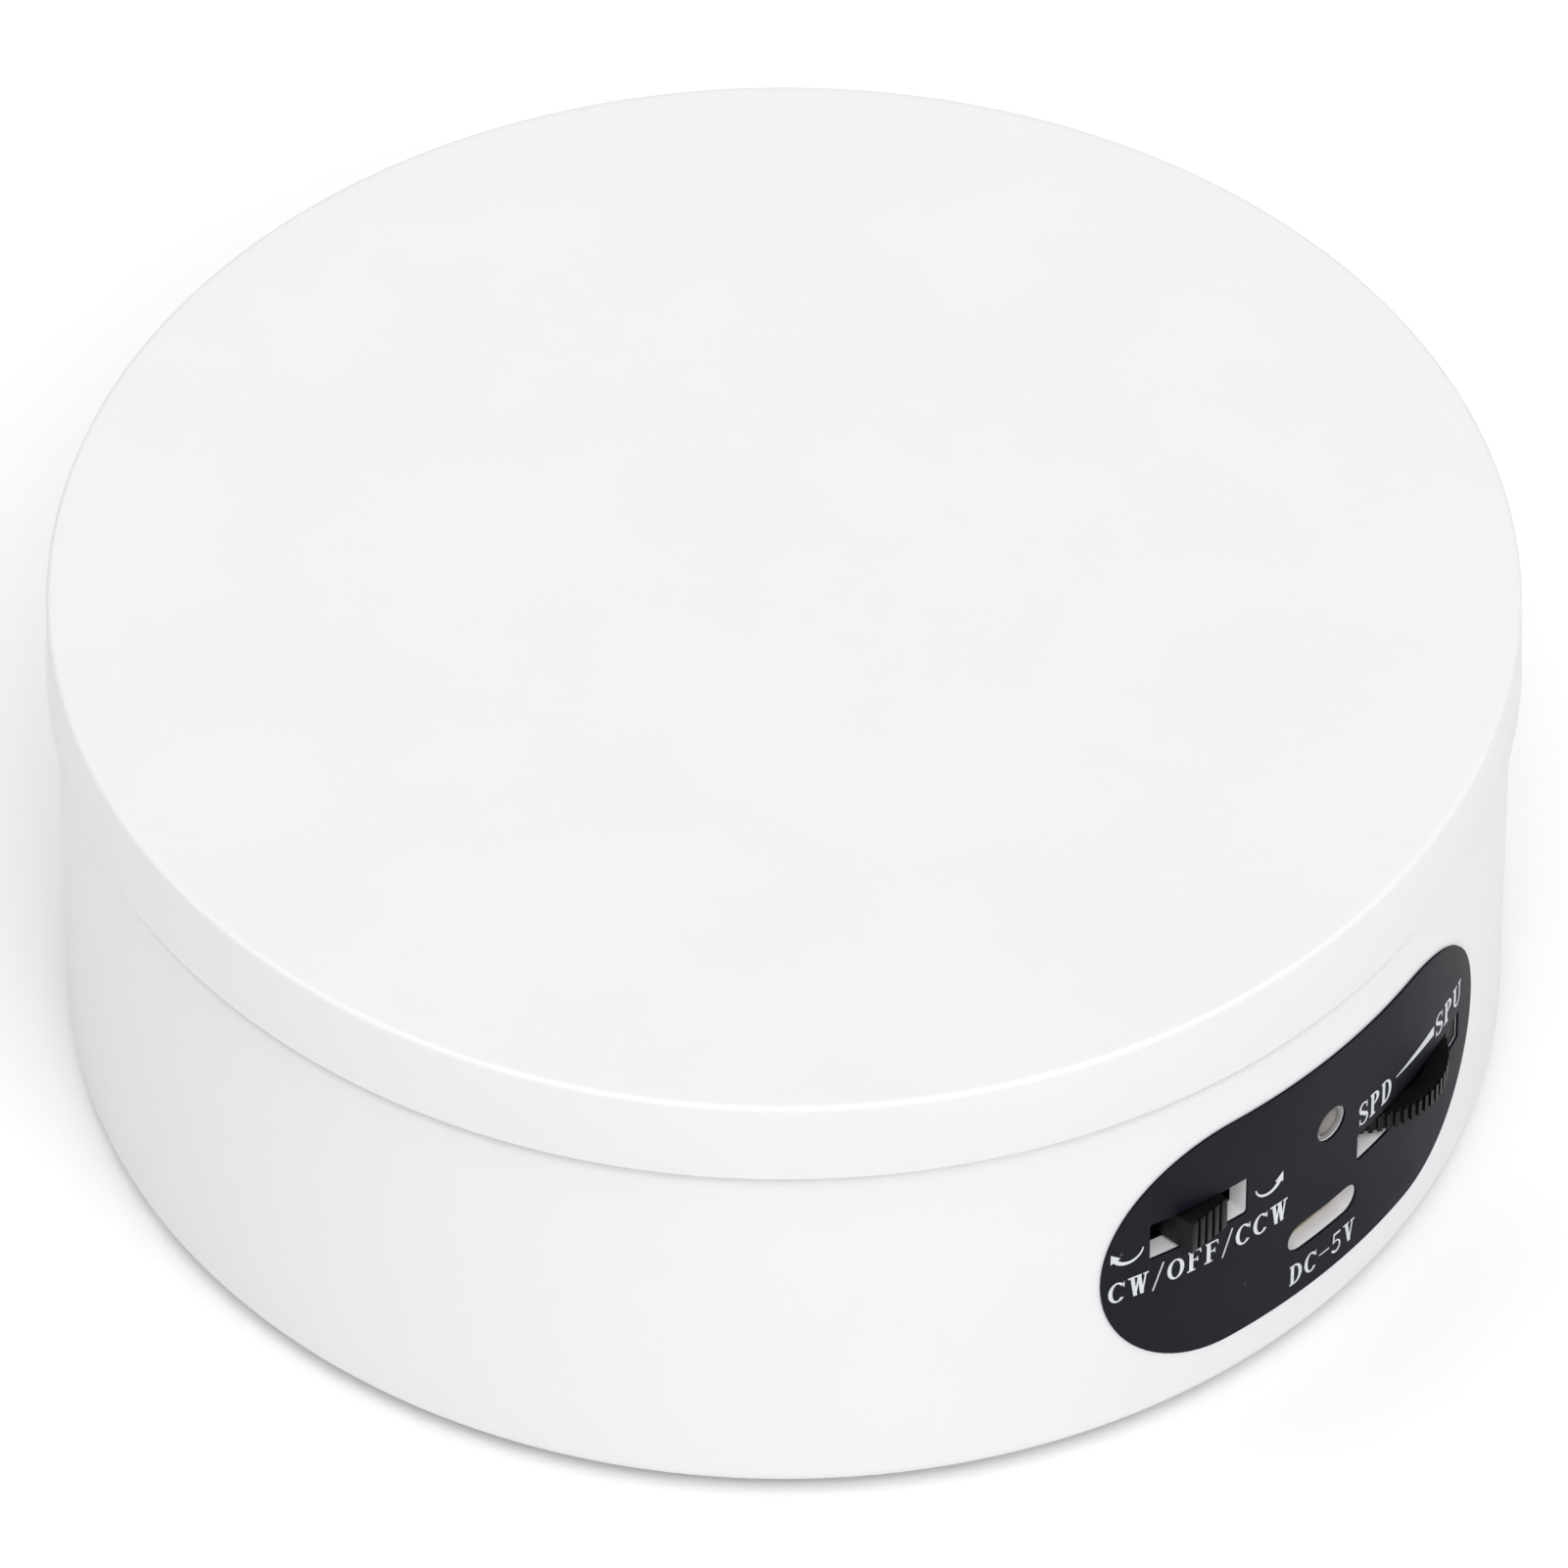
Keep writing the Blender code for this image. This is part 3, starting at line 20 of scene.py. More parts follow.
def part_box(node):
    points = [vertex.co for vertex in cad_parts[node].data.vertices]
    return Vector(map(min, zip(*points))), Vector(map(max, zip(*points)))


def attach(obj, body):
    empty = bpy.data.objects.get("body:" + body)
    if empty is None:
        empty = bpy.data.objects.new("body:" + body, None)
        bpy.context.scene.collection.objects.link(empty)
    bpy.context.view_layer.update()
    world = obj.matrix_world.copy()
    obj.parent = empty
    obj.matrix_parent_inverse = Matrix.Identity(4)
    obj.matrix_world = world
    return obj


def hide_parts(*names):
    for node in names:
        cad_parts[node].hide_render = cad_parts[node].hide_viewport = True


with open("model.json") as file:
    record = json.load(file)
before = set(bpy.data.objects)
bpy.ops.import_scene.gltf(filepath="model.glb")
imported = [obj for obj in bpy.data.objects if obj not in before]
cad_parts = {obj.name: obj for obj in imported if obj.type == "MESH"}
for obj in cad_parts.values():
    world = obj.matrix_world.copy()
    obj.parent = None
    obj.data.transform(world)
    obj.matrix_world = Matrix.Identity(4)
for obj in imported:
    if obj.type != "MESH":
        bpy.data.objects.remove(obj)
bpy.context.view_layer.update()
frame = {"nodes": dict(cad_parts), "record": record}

MM = 0.001
MERGE = 0.000002
WIDE_STEPS = 288
ROUND_STEPS = 64

Point = tuple[float, float]
Loop = list[Point]
Colour = tuple[float, float, float]
log = logging.getLogger("pottery_wheel")


# ---------------------------------------------------------------- modelling by hand, in code

def clear_selection() -> None:
    """Leaves edit mode and deselects everything."""
    active = bpy.context.view_layer.objects.active
    if active is not None and active.mode != "OBJECT":
        bpy.ops.object.mode_set(mode="OBJECT")
    bpy.ops.object.select_all(action="DESELECT")


def pick(piece: bpy.types.Object) -> None:
    """Makes one piece the only selected and the active one."""
    clear_selection()
    piece.select_set(True)
    bpy.context.view_layer.objects.active = piece


class Part(Enum):
    """What edit mode selects: points, edges and faces, each on or off."""

    POINT = (True, False, False)
    FACE = (False, False, True)


@contextmanager
def editing(piece: bpy.types.Object, part: Part = Part.POINT) -> Iterator[None]:
    """Edit mode on one piece.

    Args:
        piece: the mesh object to edit.
        part: what is selected.
    """
    pick(piece)
    bpy.context.tool_settings.mesh_select_mode = part.value
    bpy.ops.object.mode_set(mode="EDIT")
    yield
    bpy.ops.object.mode_set(mode="OBJECT")


def select_faces(piece: bpy.types.Object, test: Callable[[Vector, Vector], bool]) -> None:
    """Selects the faces that pass a test, before edit mode is entered.

    Args:
        piece: the mesh object.
        test: says of a face's centre and normal whether it is selected.
    """
    mesh = piece.data
    mesh.vertices.foreach_set("select", [False] * len(mesh.vertices))
    mesh.edges.foreach_set("select", [False] * len(mesh.edges))
    mesh.polygons.foreach_set("select", [test(face.center, face.normal) for face in mesh.polygons])


def newest(name: str) -> bpy.types.Object:
    """Names the object that an operator has just added.

    Args:
        name: the name of the object and of its mesh.

    Returns:
        The object.
    """
    piece = bpy.context.object
    piece.name = name
    piece.data.name = name
    return piece


def settle(piece: bpy.types.Object) -> None:
    """Applies the piece's place, turn and size to its mesh."""
    pick(piece)
    bpy.ops.object.transform_apply(location=True, rotation=True, scale=True)


def tidy(piece: bpy.types.Object) -> None:
    """Merges doubled points and turns every face outwards."""
    with editing(piece):
        bpy.ops.mesh.select_all(action="SELECT")
        bpy.ops.mesh.remove_doubles(threshold=MERGE)
        bpy.ops.mesh.normals_make_consistent(inside=False)


def modify(piece: bpy.types.Object, kind: str, **settings: object) -> None:
    """Adds a modifier to a piece and applies it.

    Args:
        piece: the mesh object.
        kind: the modifier's type.
        **settings: values for the modifier.
    """
    pick(piece)
    modifier = piece.modifiers.new(kind.title(), kind)
    for key, value in settings.items():
        setattr(modifier, key, value)
    bpy.ops.object.modifier_apply(modifier=modifier.name)


class Work(Enum):
    """What a tool does to the piece that it meets."""

    CUT = "DIFFERENCE"
    ADD = "UNION"


def combine(piece: bpy.types.Object, tool: bpy.types.Object, work: Work) -> None:
    """Cuts a tool out of a piece, or joins it to the piece, and removes the tool.

    Args:
        piece: the mesh object that stays.
        tool: the mesh object that goes.
        work: whether the tool is cut out or joined on.
    """
    modify(piece, "BOOLEAN", object=tool, operation=work.value, solver="EXACT")
    bpy.data.objects.remove(tool, do_unlink=True)


def soften(piece: bpy.types.Object, width: float, segments: int = 2, angle: float = 30.0) -> None:
    """Rounds the edges that are sharper than an angle, in degrees."""
    modify(
        piece, "BEVEL", width=width, segments=segments, limit_method="ANGLE", angle_limit=math.radians(angle)
    )


def smooth(piece: bpy.types.Object, angle: float = 32.0) -> None:
    """Shades a piece smooth, apart from edges sharper than an angle, in degrees."""
    pick(piece)
    bpy.ops.object.shade_smooth_by_angle(angle=math.radians(angle))


def polar(radius: float, degrees: float) -> Point:
    """The point at a radius and an angle from +X."""
    angle = math.radians(degrees)
    return radius * math.cos(angle), radius * math.sin(angle)


def arc(centre: Point, radii: Point, start: float, end: float, steps: int) -> Loop:
    """Points along an arc of an ellipse, both ends included.

    Args:
        centre: the ellipse's centre.
        radii: its two half-axes.
        start: the first angle, in degrees.
        end: the last angle, in degrees.
        steps: the number of stretches.

    Returns:
        The points in order.
    """
    points = []
    for step in range(steps + 1):
        angle = math.radians(start + (end - start) * step / steps)
        points.append((centre[0] + radii[0] * math.cos(angle), centre[1] + radii[1] * math.sin(angle)))
    return points


def ellipse(centre: Point, radii: Point, steps: int) -> Loop:
    """An ellipse, as a closed loop."""
    return arc(centre, radii, 0, 360 - 360 / steps, steps - 1)


def stadium(centre: Point, length: float, height: float, steps: int = 24) -> Loop:
    """A rectangle with round ends, as a closed loop."""
    radius = height / 2
    reach = length / 2 - radius
    right = arc((centre[0] + reach, centre[1]), (radius, radius), -90, 90, steps)
    left = arc((centre[0] - reach, centre[1]), (radius, radius), 90, 270, steps)
    return right + left


def rounded_box(centre: Point, size: Point, radius: float, steps: int = 4) -> Loop:
    """A rectangle with rounded corners, as a closed loop."""
    points = []
    for quarter, (side, rise) in enumerate(((1, 1), (-1, 1), (-1, -1), (1, -1))):
        corner = (centre[0] + side * (size[0] / 2 - radius), centre[1] + rise * (size[1] / 2 - radius))
        points += arc(corner, (radius, radius), 90 * quarter, 90 * quarter + 90, steps)
    return points


def lathe(name: str, profile: Loop, steps: int = ROUND_STEPS) -> bpy.types.Object:
    """Turns a profile round the upright axis, point by point and then with a full spin.

    Args:
        name: the piece's name.
        profile: points of (radius, height); a closed shape repeats its first point.
        steps: the number of facets round the axis.

    Returns:
        The closed piece.
    """
    clear_selection()
    bpy.ops.mesh.primitive_plane_add(size=MM)
    piece = newest(name)
    with editing(piece):
        bpy.ops.mesh.select_all(action="SELECT")
        bpy.ops.mesh.merge(type="CENTER")
        bpy.ops.transform.translate(value=(profile[0][0], 0.0, profile[0][1]))
        for (radius, height), (next_radius, next_height) in zip(profile, profile[1:]):
            step = (next_radius - radius, 0.0, next_height - height)
            bpy.ops.mesh.extrude_vertices_move(TRANSFORM_OT_translate={"value": step})
        bpy.ops.mesh.select_all(action="SELECT")
        bpy.ops.mesh.spin(steps=steps, angle=math.tau, center=(0.0, 0.0, 0.0), axis=(0.0, 0.0, 1.0))
    tidy(piece)
    return piece


def sheet_cut(name: str, loops: Sequence[Loop], low: float, high: float) -> bpy.types.Object:
    """A flat shape with thickness, from closed loops in the XY plane.

    Args:
        name: the piece's name.
        loops: the outline, then its holes.
        low: the height of its lower face.
        high: the height of its upper face.

    Returns:
        The closed piece.
    """
    curve = bpy.data.curves.new(name, "CURVE")
    curve.dimensions = "2D"
    curve.fill_mode = "BOTH"
    curve.extrude = (high - low) / 2
    for loop in loops:
        spline = curve.splines.new("POLY")
        spline.points.add(len(loop) - 1)
        for point, (x, y) in zip(spline.points, loop):
            point.co = (x, y, 0.0, 1.0)
        spline.use_cyclic_u = True
    piece = bpy.data.objects.new(name, curve)
    bpy.context.scene.collection.objects.link(piece)
    pick(piece)
    bpy.ops.object.convert(target="MESH")
    piece = newest(name)
    piece.location.z = (low + high) / 2
    settle(piece)
    tidy(piece)
    return piece


def face_front(piece: bpy.types.Object) -> None:
    """Stands a flat piece up so that its upper face looks to -Y."""
    piece.rotation_euler = (math.radians(90), 0.0, 0.0)
    settle(piece)


def block(name: str, low: Sequence[float], high: Sequence[float]) -> bpy.types.Object:
    """A box between two corners, from the cube primitive."""
    clear_selection()
    middle = (Vector(low) + Vector(high)) / 2
    bpy.ops.mesh.primitive_cube_add(size=1.0, location=middle, scale=Vector(high) - Vector(low))
    piece = newest(name)
    settle(piece)
    return piece


def rod(name: str, centre: Point, radius: float, low: float, high: float,
        steps: int = 32) -> bpy.types.Object:
    """An upright cylinder between two heights, from the cylinder primitive."""
    clear_selection()
    place = (*centre, (low + high) / 2)
    bpy.ops.mesh.primitive_cylinder_add(vertices=steps, radius=radius, depth=high - low, location=place)
    piece = newest(name)
    settle(piece)
    return piece


def join(name: str, pieces: Sequence[bpy.types.Object]) -> bpy.types.Object:
    """Makes several meshes one object."""
    clear_selection()
    for piece in pieces:
        piece.select_set(True)
    bpy.context.view_layer.objects.active = pieces[0]
    bpy.ops.object.join()
    return newest(name)


# ---------------------------------------------------------------- finishes

class Nodes:
    """A short way to put shader nodes together."""

    def __init__(self, name: str) -> None:
        """Starts a material.

        Args:
            name: the material's name.
        """
        self.material = bpy.data.materials.new(name)
        self.material.use_nodes = True
        self.tree = self.material.node_tree
        self.shader = self.tree.nodes["Principled BSDF"]
        self.coordinates = self.tree.nodes.new("ShaderNodeTexCoord").outputs["Object"]

    def add(self, kind: str, inputs: dict[str, object] | None = None, **settings: object) -> bpy.types.Node:
        """Adds one node.

        Args:
            kind: the node's type, without its ShaderNode prefix.
            inputs: a value or a link for each input that isn't left as it is.
            **settings: values for the node's own settings.

        Returns:
            The node.
        """
        node = self.tree.nodes.new("ShaderNode" + kind)
        for key, value in settings.items():
            setattr(node, key, value)
        for key, value in (inputs or {}).items():
            socket = node.inputs[key]
            if isinstance(value, bpy.types.NodeSocket):
                self.tree.links.new(value, socket)
            else:
                socket.default_value = value
        return node

    def noise(self, scale: float, detail: float = 3.0, vector: bpy.types.NodeSocket | None = None,
              roughness: float = 0.55) -> bpy.types.NodeSocket:
        """A noise pattern on the piece's own coordinates, as its factor output."""
        inputs = {"Vector": vector or self.coordinates, "Scale": scale}
        inputs |= {"Detail": detail, "Roughness": roughness}
        return self.add("TexNoise", inputs).outputs["Fac"]

    def stretched(self, scale: Sequence[float]) -> bpy.types.NodeSocket:
        """The coordinates, stretched along each axis."""
        return self.add("Mapping", {"Vector": self.coordinates, "Scale": scale}).outputs["Vector"]

    def spread(self, value: bpy.types.NodeSocket, low: float, high: float, start: float = 0.3,
               end: float = 0.7) -> bpy.types.NodeSocket:
        """A value from one span, laid out on another."""
        inputs = {"Value": value, "From Min": start, "From Max": end, "To Min": low, "To Max": high}
        return self.add("MapRange", inputs).outputs["Result"]

    def mix(self, share: bpy.types.NodeSocket, first: object, second: object) -> bpy.types.NodeSocket:
        """One colour over another, by a share."""
        node = self.add("Mix", data_type="RGBA")
        for socket, value in ((node.inputs[0], share), (node.inputs[6], first), (node.inputs[7], second)):
            if isinstance(value, bpy.types.NodeSocket):
                self.tree.links.new(value, socket)
            else:
                socket.default_value = (*value, 1.0)
        return node.outputs[2]

    def math(self, operation: str, first: object, second: object) -> bpy.types.NodeSocket:
        """A sum, product or comparison of two values."""
        return self.add("Math", {0: first, 1: second}, operation=operation).outputs[0]

    def bump(self, height: bpy.types.NodeSocket, depth: float,
             normal: bpy.types.NodeSocket | None = None) -> bpy.types.NodeSocket:
        """A relief of a depth in metres, on top of another relief where one is given."""
        inputs = {"Height": height, "Distance": depth, "Strength": 1.0}
        if normal is not None:
            inputs["Normal"] = normal
        return self.add("Bump", inputs).outputs["Normal"]

    def connect(self, **inputs: bpy.types.NodeSocket) -> None:
        """Links sockets to the shader, with underscores for the spaces in its inputs' names."""
        for key, value in inputs.items():
            self.tree.links.new(value, self.shader.inputs[key.replace("_", " ")])

    def fix(self, **inputs: object) -> None:
        """Sets even values on the shader's own sockets."""
        for key, value in inputs.items():
            self.shader.inputs[key.replace("_", " ")].default_value = value


@dataclass(frozen=True)
class Finish:
    """A surface with a drifting colour, a drifting gloss and a fine relief."""

    name: str
    colour: Colour
    roughness: float
    metallic: float = 0.0
    specular: float = 0.5
    drift: float = 0.04
    drift_scale: float = 45.0
    gloss_drift: float = 0.08
    grain_scale: float = 2600.0
    grain_depth: float = 0.004 * MM
    stretch: tuple[float, float, float] = (1.0, 1.0, 1.0)

    def build(self) -> bpy.types.Material:
        """Makes the material.

        Returns:
            The material, with its layers in place.
        """
        nodes = Nodes(self.name)
        nodes.fix(Metallic=self.metallic, Specular_IOR_Level=self.specular)
        vector = nodes.stretched(self.stretch)
        self.lay(nodes, vector)
        return nodes.material

    def shades(self) -> tuple[Colour, Colour]:
        """The colour's two ends, darker and lighter."""
        return tuple(tuple(min(1.0, c * (1 + side * self.drift)) for c in self.colour) for side in (-1, 1))

    def gloss(self, nodes: Nodes, share: bpy.types.NodeSocket) -> bpy.types.NodeSocket:
        """The roughness, which drifts with a pattern."""
        return nodes.spread(share, self.roughness - self.gloss_drift, self.roughness + self.gloss_drift)

    def lay(self, nodes: Nodes, vector: bpy.types.NodeSocket) -> None:
        """Lays the colour, the gloss and the relief.

        Args:
            nodes: the material in the making.
            vector: the coordinates that the pattern follows.
        """
        cloud = nodes.noise(self.drift_scale, 4.0, vector)
        grain = nodes.noise(self.grain_scale, 2.0, vector)
        dark, light = self.shades()
        nodes.connect(
            Base_Color=nodes.mix(nodes.spread(cloud, 0.0, 1.0), dark, light),
            Roughness=self.gloss(nodes, cloud),
            Normal=nodes.bump(grain, self.grain_depth),
        )


@dataclass(frozen=True)
class MouldedWhite(Finish):
    """Semi-gloss white moulding: faint flow clouds, a fine spark texture and long, shallow sink."""

    sink_scale: float = 14.0
    sink_depth: float = 0.03 * MM
    scuff_scale: float = 900.0
    scuff_stretch: tuple[float, float, float] = (1.0, 0.12, 1.0)
    scuff_gloss: float = 0.03
    scuff_depth: float = 0.002 * MM

    def lay(self, nodes: Nodes, vector: bpy.types.NodeSocket) -> None:
        """Lays clouds, scuffs, spark texture and sink."""
        cloud = nodes.noise(self.drift_scale, 5.0, vector, 0.62)
        scuffs = nodes.noise(self.scuff_scale, 2.0, nodes.stretched(self.scuff_stretch))
        sink = nodes.bump(nodes.noise(self.sink_scale, 1.0, vector), self.sink_depth)
        marks = nodes.bump(scuffs, self.scuff_depth, sink)
        grain = nodes.bump(nodes.noise(self.grain_scale, 2.0, vector), self.grain_depth, marks)
        dark, light = self.shades()
        low, high = self.roughness - self.scuff_gloss, self.roughness + self.scuff_gloss
        worn = nodes.math("ADD", nodes.spread(cloud, -self.gloss_drift, self.gloss_drift),
                          nodes.spread(scuffs, low, high))
        nodes.connect(
            Base_Color=nodes.mix(nodes.spread(cloud, 0.0, 1.0, 0.35, 0.65), dark, light),
            Roughness=worn,
            Normal=grain,
        )


@dataclass(frozen=True)
class DustyFilm(Finish):
    """Satin printed film with a leathery fine grain and a few specks of dust."""

    dust: Colour = (0.07, 0.07, 0.075)
    dust_scale: float = 330.0
    dust_size: float = 0.06
    dust_rarity: float = 0.7

    def lay(self, nodes: Nodes, vector: bpy.types.NodeSocket) -> None:
        """Lays the film, and the specks on top of it."""
        super().lay(nodes, vector)
        film = nodes.shader.inputs["Base Color"].links[0].from_socket
        cells = nodes.add("TexVoronoi", {"Vector": vector, "Scale": self.dust_scale})
        speck = nodes.math("LESS_THAN", cells.outputs["Distance"], self.dust_size)
        chosen = nodes.math("GREATER_THAN", nodes.noise(self.dust_scale / 3, 0.0, vector), self.dust_rarity)
        share = nodes.math("MULTIPLY", speck, chosen)
        nodes.connect(Base_Color=nodes.mix(share, film, self.dust))


@dataclass(frozen=True)
class WorkedMetal(Finish):
    """Metal with fine marks along the way it was turned, drawn or rolled."""

    mark_scale: float = 1500.0
    mark_stretch: tuple[float, float, float] = (1.0, 1.0, 14.0)
    mark_depth: float = 0.003 * MM

    def lay(self, nodes: Nodes, vector: bpy.types.NodeSocket) -> None:
        """Lays the drifting colour, then the marks in gloss and relief."""
        super().lay(nodes, vector)
        marks = nodes.noise(self.mark_scale, 2.0, nodes.stretched(self.mark_stretch))
        nodes.connect(Roughness=self.gloss(nodes, marks), Normal=nodes.bump(marks, self.mark_depth))


@dataclass(frozen=True)
class MilkyLens(Finish):
    """Cast epoxy that lets some light in, darker towards the chip in its middle."""

    chip: Colour = (0.21, 0.18, 0.165)
    chip_radius: float = 1.2 * MM
    chip_core: float = 0.85
    clearness: float = 0.15
    axis: Point = (0.0, 0.0)

    def lay(self, nodes: Nodes, vector: bpy.types.NodeSocket) -> None:
        """Lays the body colour, and the chip's shade round the lens's axis."""
        super().lay(nodes, vector)
        body = nodes.shader.inputs["Base Color"].links[0].from_socket
        vector = nodes.coordinates
        middle = (self.axis[0], 0.0, self.axis[1])
        for operation, other in (("SUBTRACT", middle), ("MULTIPLY", (1.0, 0.0, 1.0))):
            vector = nodes.add("VectorMath", {0: vector, 1: other}, operation=operation).outputs["Vector"]
        distance = nodes.add("VectorMath", {0: vector}, operation="LENGTH").outputs["Value"]
        share = nodes.spread(distance, 1.0, 0.0, self.chip_core * self.chip_radius, self.chip_radius)
        nodes.connect(Base_Color=nodes.mix(share, body, self.chip))
        nodes.fix(Transmission_Weight=self.clearness)


WHITE_ABS = MouldedWhite("white_abs", (0.80, 0.795, 0.81), 0.36, drift=0.008, drift_scale=38.0,
                         gloss_drift=0.04, grain_scale=3200.0, grain_depth=0.0022 * MM)
LABEL_FILM = DustyFilm("label_film", (0.0045, 0.005, 0.010), 0.5, specular=0.10, drift=0.1, gloss_drift=0.06,
                       grain_scale=4200.0, grain_depth=0.006 * MM)
LABEL_INK = Finish("label_ink", (0.66, 0.68, 0.72), 0.5, drift=0.06, drift_scale=700.0, grain_scale=6000.0)
SATIN_BLACK = Finish("satin_black", (0.004, 0.004, 0.0045), 0.36, specular=0.14, drift=0.18,
                     drift_scale=180.0, grain_scale=3600.0, grain_depth=0.006 * MM)
# Near-black finish of the block in the right end of the wheel's slot: painted shade where that slot end lies
# in shadow.
SLOT_END_SHADE = Finish("slot_end_painted_shade", (0.008, 0.008, 0.0085), 0.48, specular=0.09, drift=0.2,
                      drift_scale=220.0, grain_scale=3000.0, grain_depth=0.008 * MM)
LENS = MilkyLens("milky_lens", (0.34, 0.33, 0.325), 0.3, grain_scale=900.0, grain_depth=0.001 * MM)
SOCKET_STEEL = WorkedMetal("socket_steel", (0.66, 0.54, 0.33), 0.3, 1.0, mark_stretch=(1.0, 14.0, 1.0))
CONTACT_GOLD = WorkedMetal("contact_gold", (0.90, 0.66, 0.28), 0.22, 1.0, mark_stretch=(1.0, 14.0, 1.0))
SCREW_ZINC = WorkedMetal("zinc_plate", (0.58, 0.59, 0.61), 0.3, 1.0, drift=0.08, drift_scale=500.0)
PLATED_STEEL = WorkedMetal("plated_steel", (0.62, 0.63, 0.65), 0.28, 1.0, drift=0.06)
TURNED_BRASS = WorkedMetal("turned_brass", (0.78, 0.57, 0.25), 0.27, 1.0, drift=0.08)
GEAR_ACETAL = Finish("gear_acetal", (0.83, 0.81, 0.74), 0.42, drift=0.02, grain_depth=0.003 * MM)
FOOT_RUBBER = Finish("foot_rubber", (0.028, 0.028, 0.029), 0.82, drift=0.25, drift_scale=260.0,
                     grain_scale=1400.0, grain_depth=0.02 * MM)
SOLDER_MASK = Finish("solder_mask", (0.012, 0.12, 0.045), 0.32, drift=0.3, drift_scale=900.0,
                     grain_scale=1500.0, grain_depth=0.01 * MM)
RED_PVC = Finish("red_insulation", (0.55, 0.015, 0.012), 0.4, drift=0.1, drift_scale=300.0)
BLACK_PVC = Finish("black_insulation", (0.015, 0.015, 0.016), 0.42, drift=0.2, drift_scale=300.0)


@lru_cache(maxsize=None)
def material_of(finish: Finish) -> bpy.types.Material:
    """The one material of a finish, made the first time it is asked for."""
    return finish.build()


class Slot(Enum):
    """The record's material slots."""

    WHITE = "white_plastic"
    LABEL = "label_film"
    BLACK = "black_plastic"
    RUBBER = "foot_rubber"
    GEAR = "gear_plastic"
    BRASS = "brass"
    STEEL = "steel"
    SCREW = "screw_steel"
    BOARD = "board_laminate"
    LENS = "led_lens"
    RED = "lead_red"
    DARK_LEAD = "lead_black"


SLOT_FINISHES = {
    Slot.WHITE: WHITE_ABS,
    Slot.LABEL: LABEL_FILM,
    Slot.BLACK: SATIN_BLACK,
    Slot.RUBBER: FOOT_RUBBER,
    Slot.GEAR: GEAR_ACETAL,
    Slot.BRASS: TURNED_BRASS,
    Slot.STEEL: PLATED_STEEL,
    Slot.SCREW: SCREW_ZINC,
    Slot.BOARD: SOLDER_MASK,
    Slot.LENS: LENS,
    Slot.RED: RED_PVC,
    Slot.DARK_LEAD: BLACK_PVC,
}


def dress(piece: bpy.types.Object, body: str, slot: Slot, finish: Finish | None = None,
          stands_for: Sequence[str] = ()) -> bpy.types.Object:
    """Gives a finished piece its material, from its slot where no finish is given, and its body.

    Args:
        piece: the piece, with its place in its mesh.
        body: the CAD body that it rides on.
        slot: the record's slot that it belongs to.
        finish: its finish, where that isn't the slot's own.
        stands_for: the CAD nodes that it replaces.

    Returns:
        The piece.
    """
    piece.data.materials.clear()
    piece.data.materials.append(material_of(finish or SLOT_FINISHES[slot]))
    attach(piece, body)
    if stands_for:
        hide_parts(*stands_for)
    log.info("%s rides on %s", piece.name, body)
    return piece


def nodes_like(start: str) -> list[str]:
    """The names of the CAD nodes that begin alike, in order."""
    return sorted(name for name in frame["nodes"] if name.startswith(start))


def round_place(node: str) -> tuple[Point, float]:
    """A round node's centre and radius, seen from above."""
    low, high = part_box(node)
    return ((low.x + high.x) / 2, (low.y + high.y) / 2), (high.x - low.x) / 2


# ---------------------------------------------------------------- platter and drum

@dataclass
class Platter:
    """The white round top that turns, with its rim and its ribbed underside."""

    edge: float = 0.55 * MM
    draft: float = 0.25 * MM
    lip: float = 0.35 * MM
    face_margin: float = 6.0 * MM
    rim_wall: float = 2.2 * MM
    skin: float = 3.0 * MM
    pad_radius: float = 15.0 * MM
    pad_height: float = 1.5 * MM
    rib_height: float = 1.2 * MM
    rib_wall: float = 1.2 * MM
    rib_draft: float = 0.1 * MM
    rib_rings: tuple[float, ...] = (24.0 * MM, 36.0 * MM)

    def profile(self) -> Loop:
        """The platter's section, from its middle out over the rim and back underneath."""
        low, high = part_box("platter")
        radius = high.x - self.draft
        top, bottom, under = high.z, low.z, high.z - self.skin
        points = [(0.0, top), (radius - self.face_margin, top), (radius - 2 * self.edge, top)]
        points += arc((radius - self.edge, top - self.edge), (self.edge, self.edge), 90, 1, 8)
        points += arc((high.x - self.lip, bottom + self.lip), (self.lip, self.lip), -1, -90, 4)
        points += [(high.x - self.rim_wall, bottom), (radius - self.rim_wall, under)]
        for ring in sorted(self.rib_rings, reverse=True):
            outer, inner, tip = ring + self.rib_wall / 2, ring - self.rib_wall / 2, under - self.rib_height
            points += [(outer, under), (outer - self.rib_draft, tip)]
            points += [(inner + self.rib_draft, tip), (inner, under)]
        points += [(self.pad_radius, under), (self.pad_radius, under - self.pad_height)]
        return points + [(0.0, under - self.pad_height)]

    def build(self) -> None:
        """Turns the platter and dresses it."""
        platter = lathe("platter_disc", self.profile(), WIDE_STEPS)
        smooth(platter)
        dress(platter, "platter", Slot.WHITE, stands_for=["platter"])


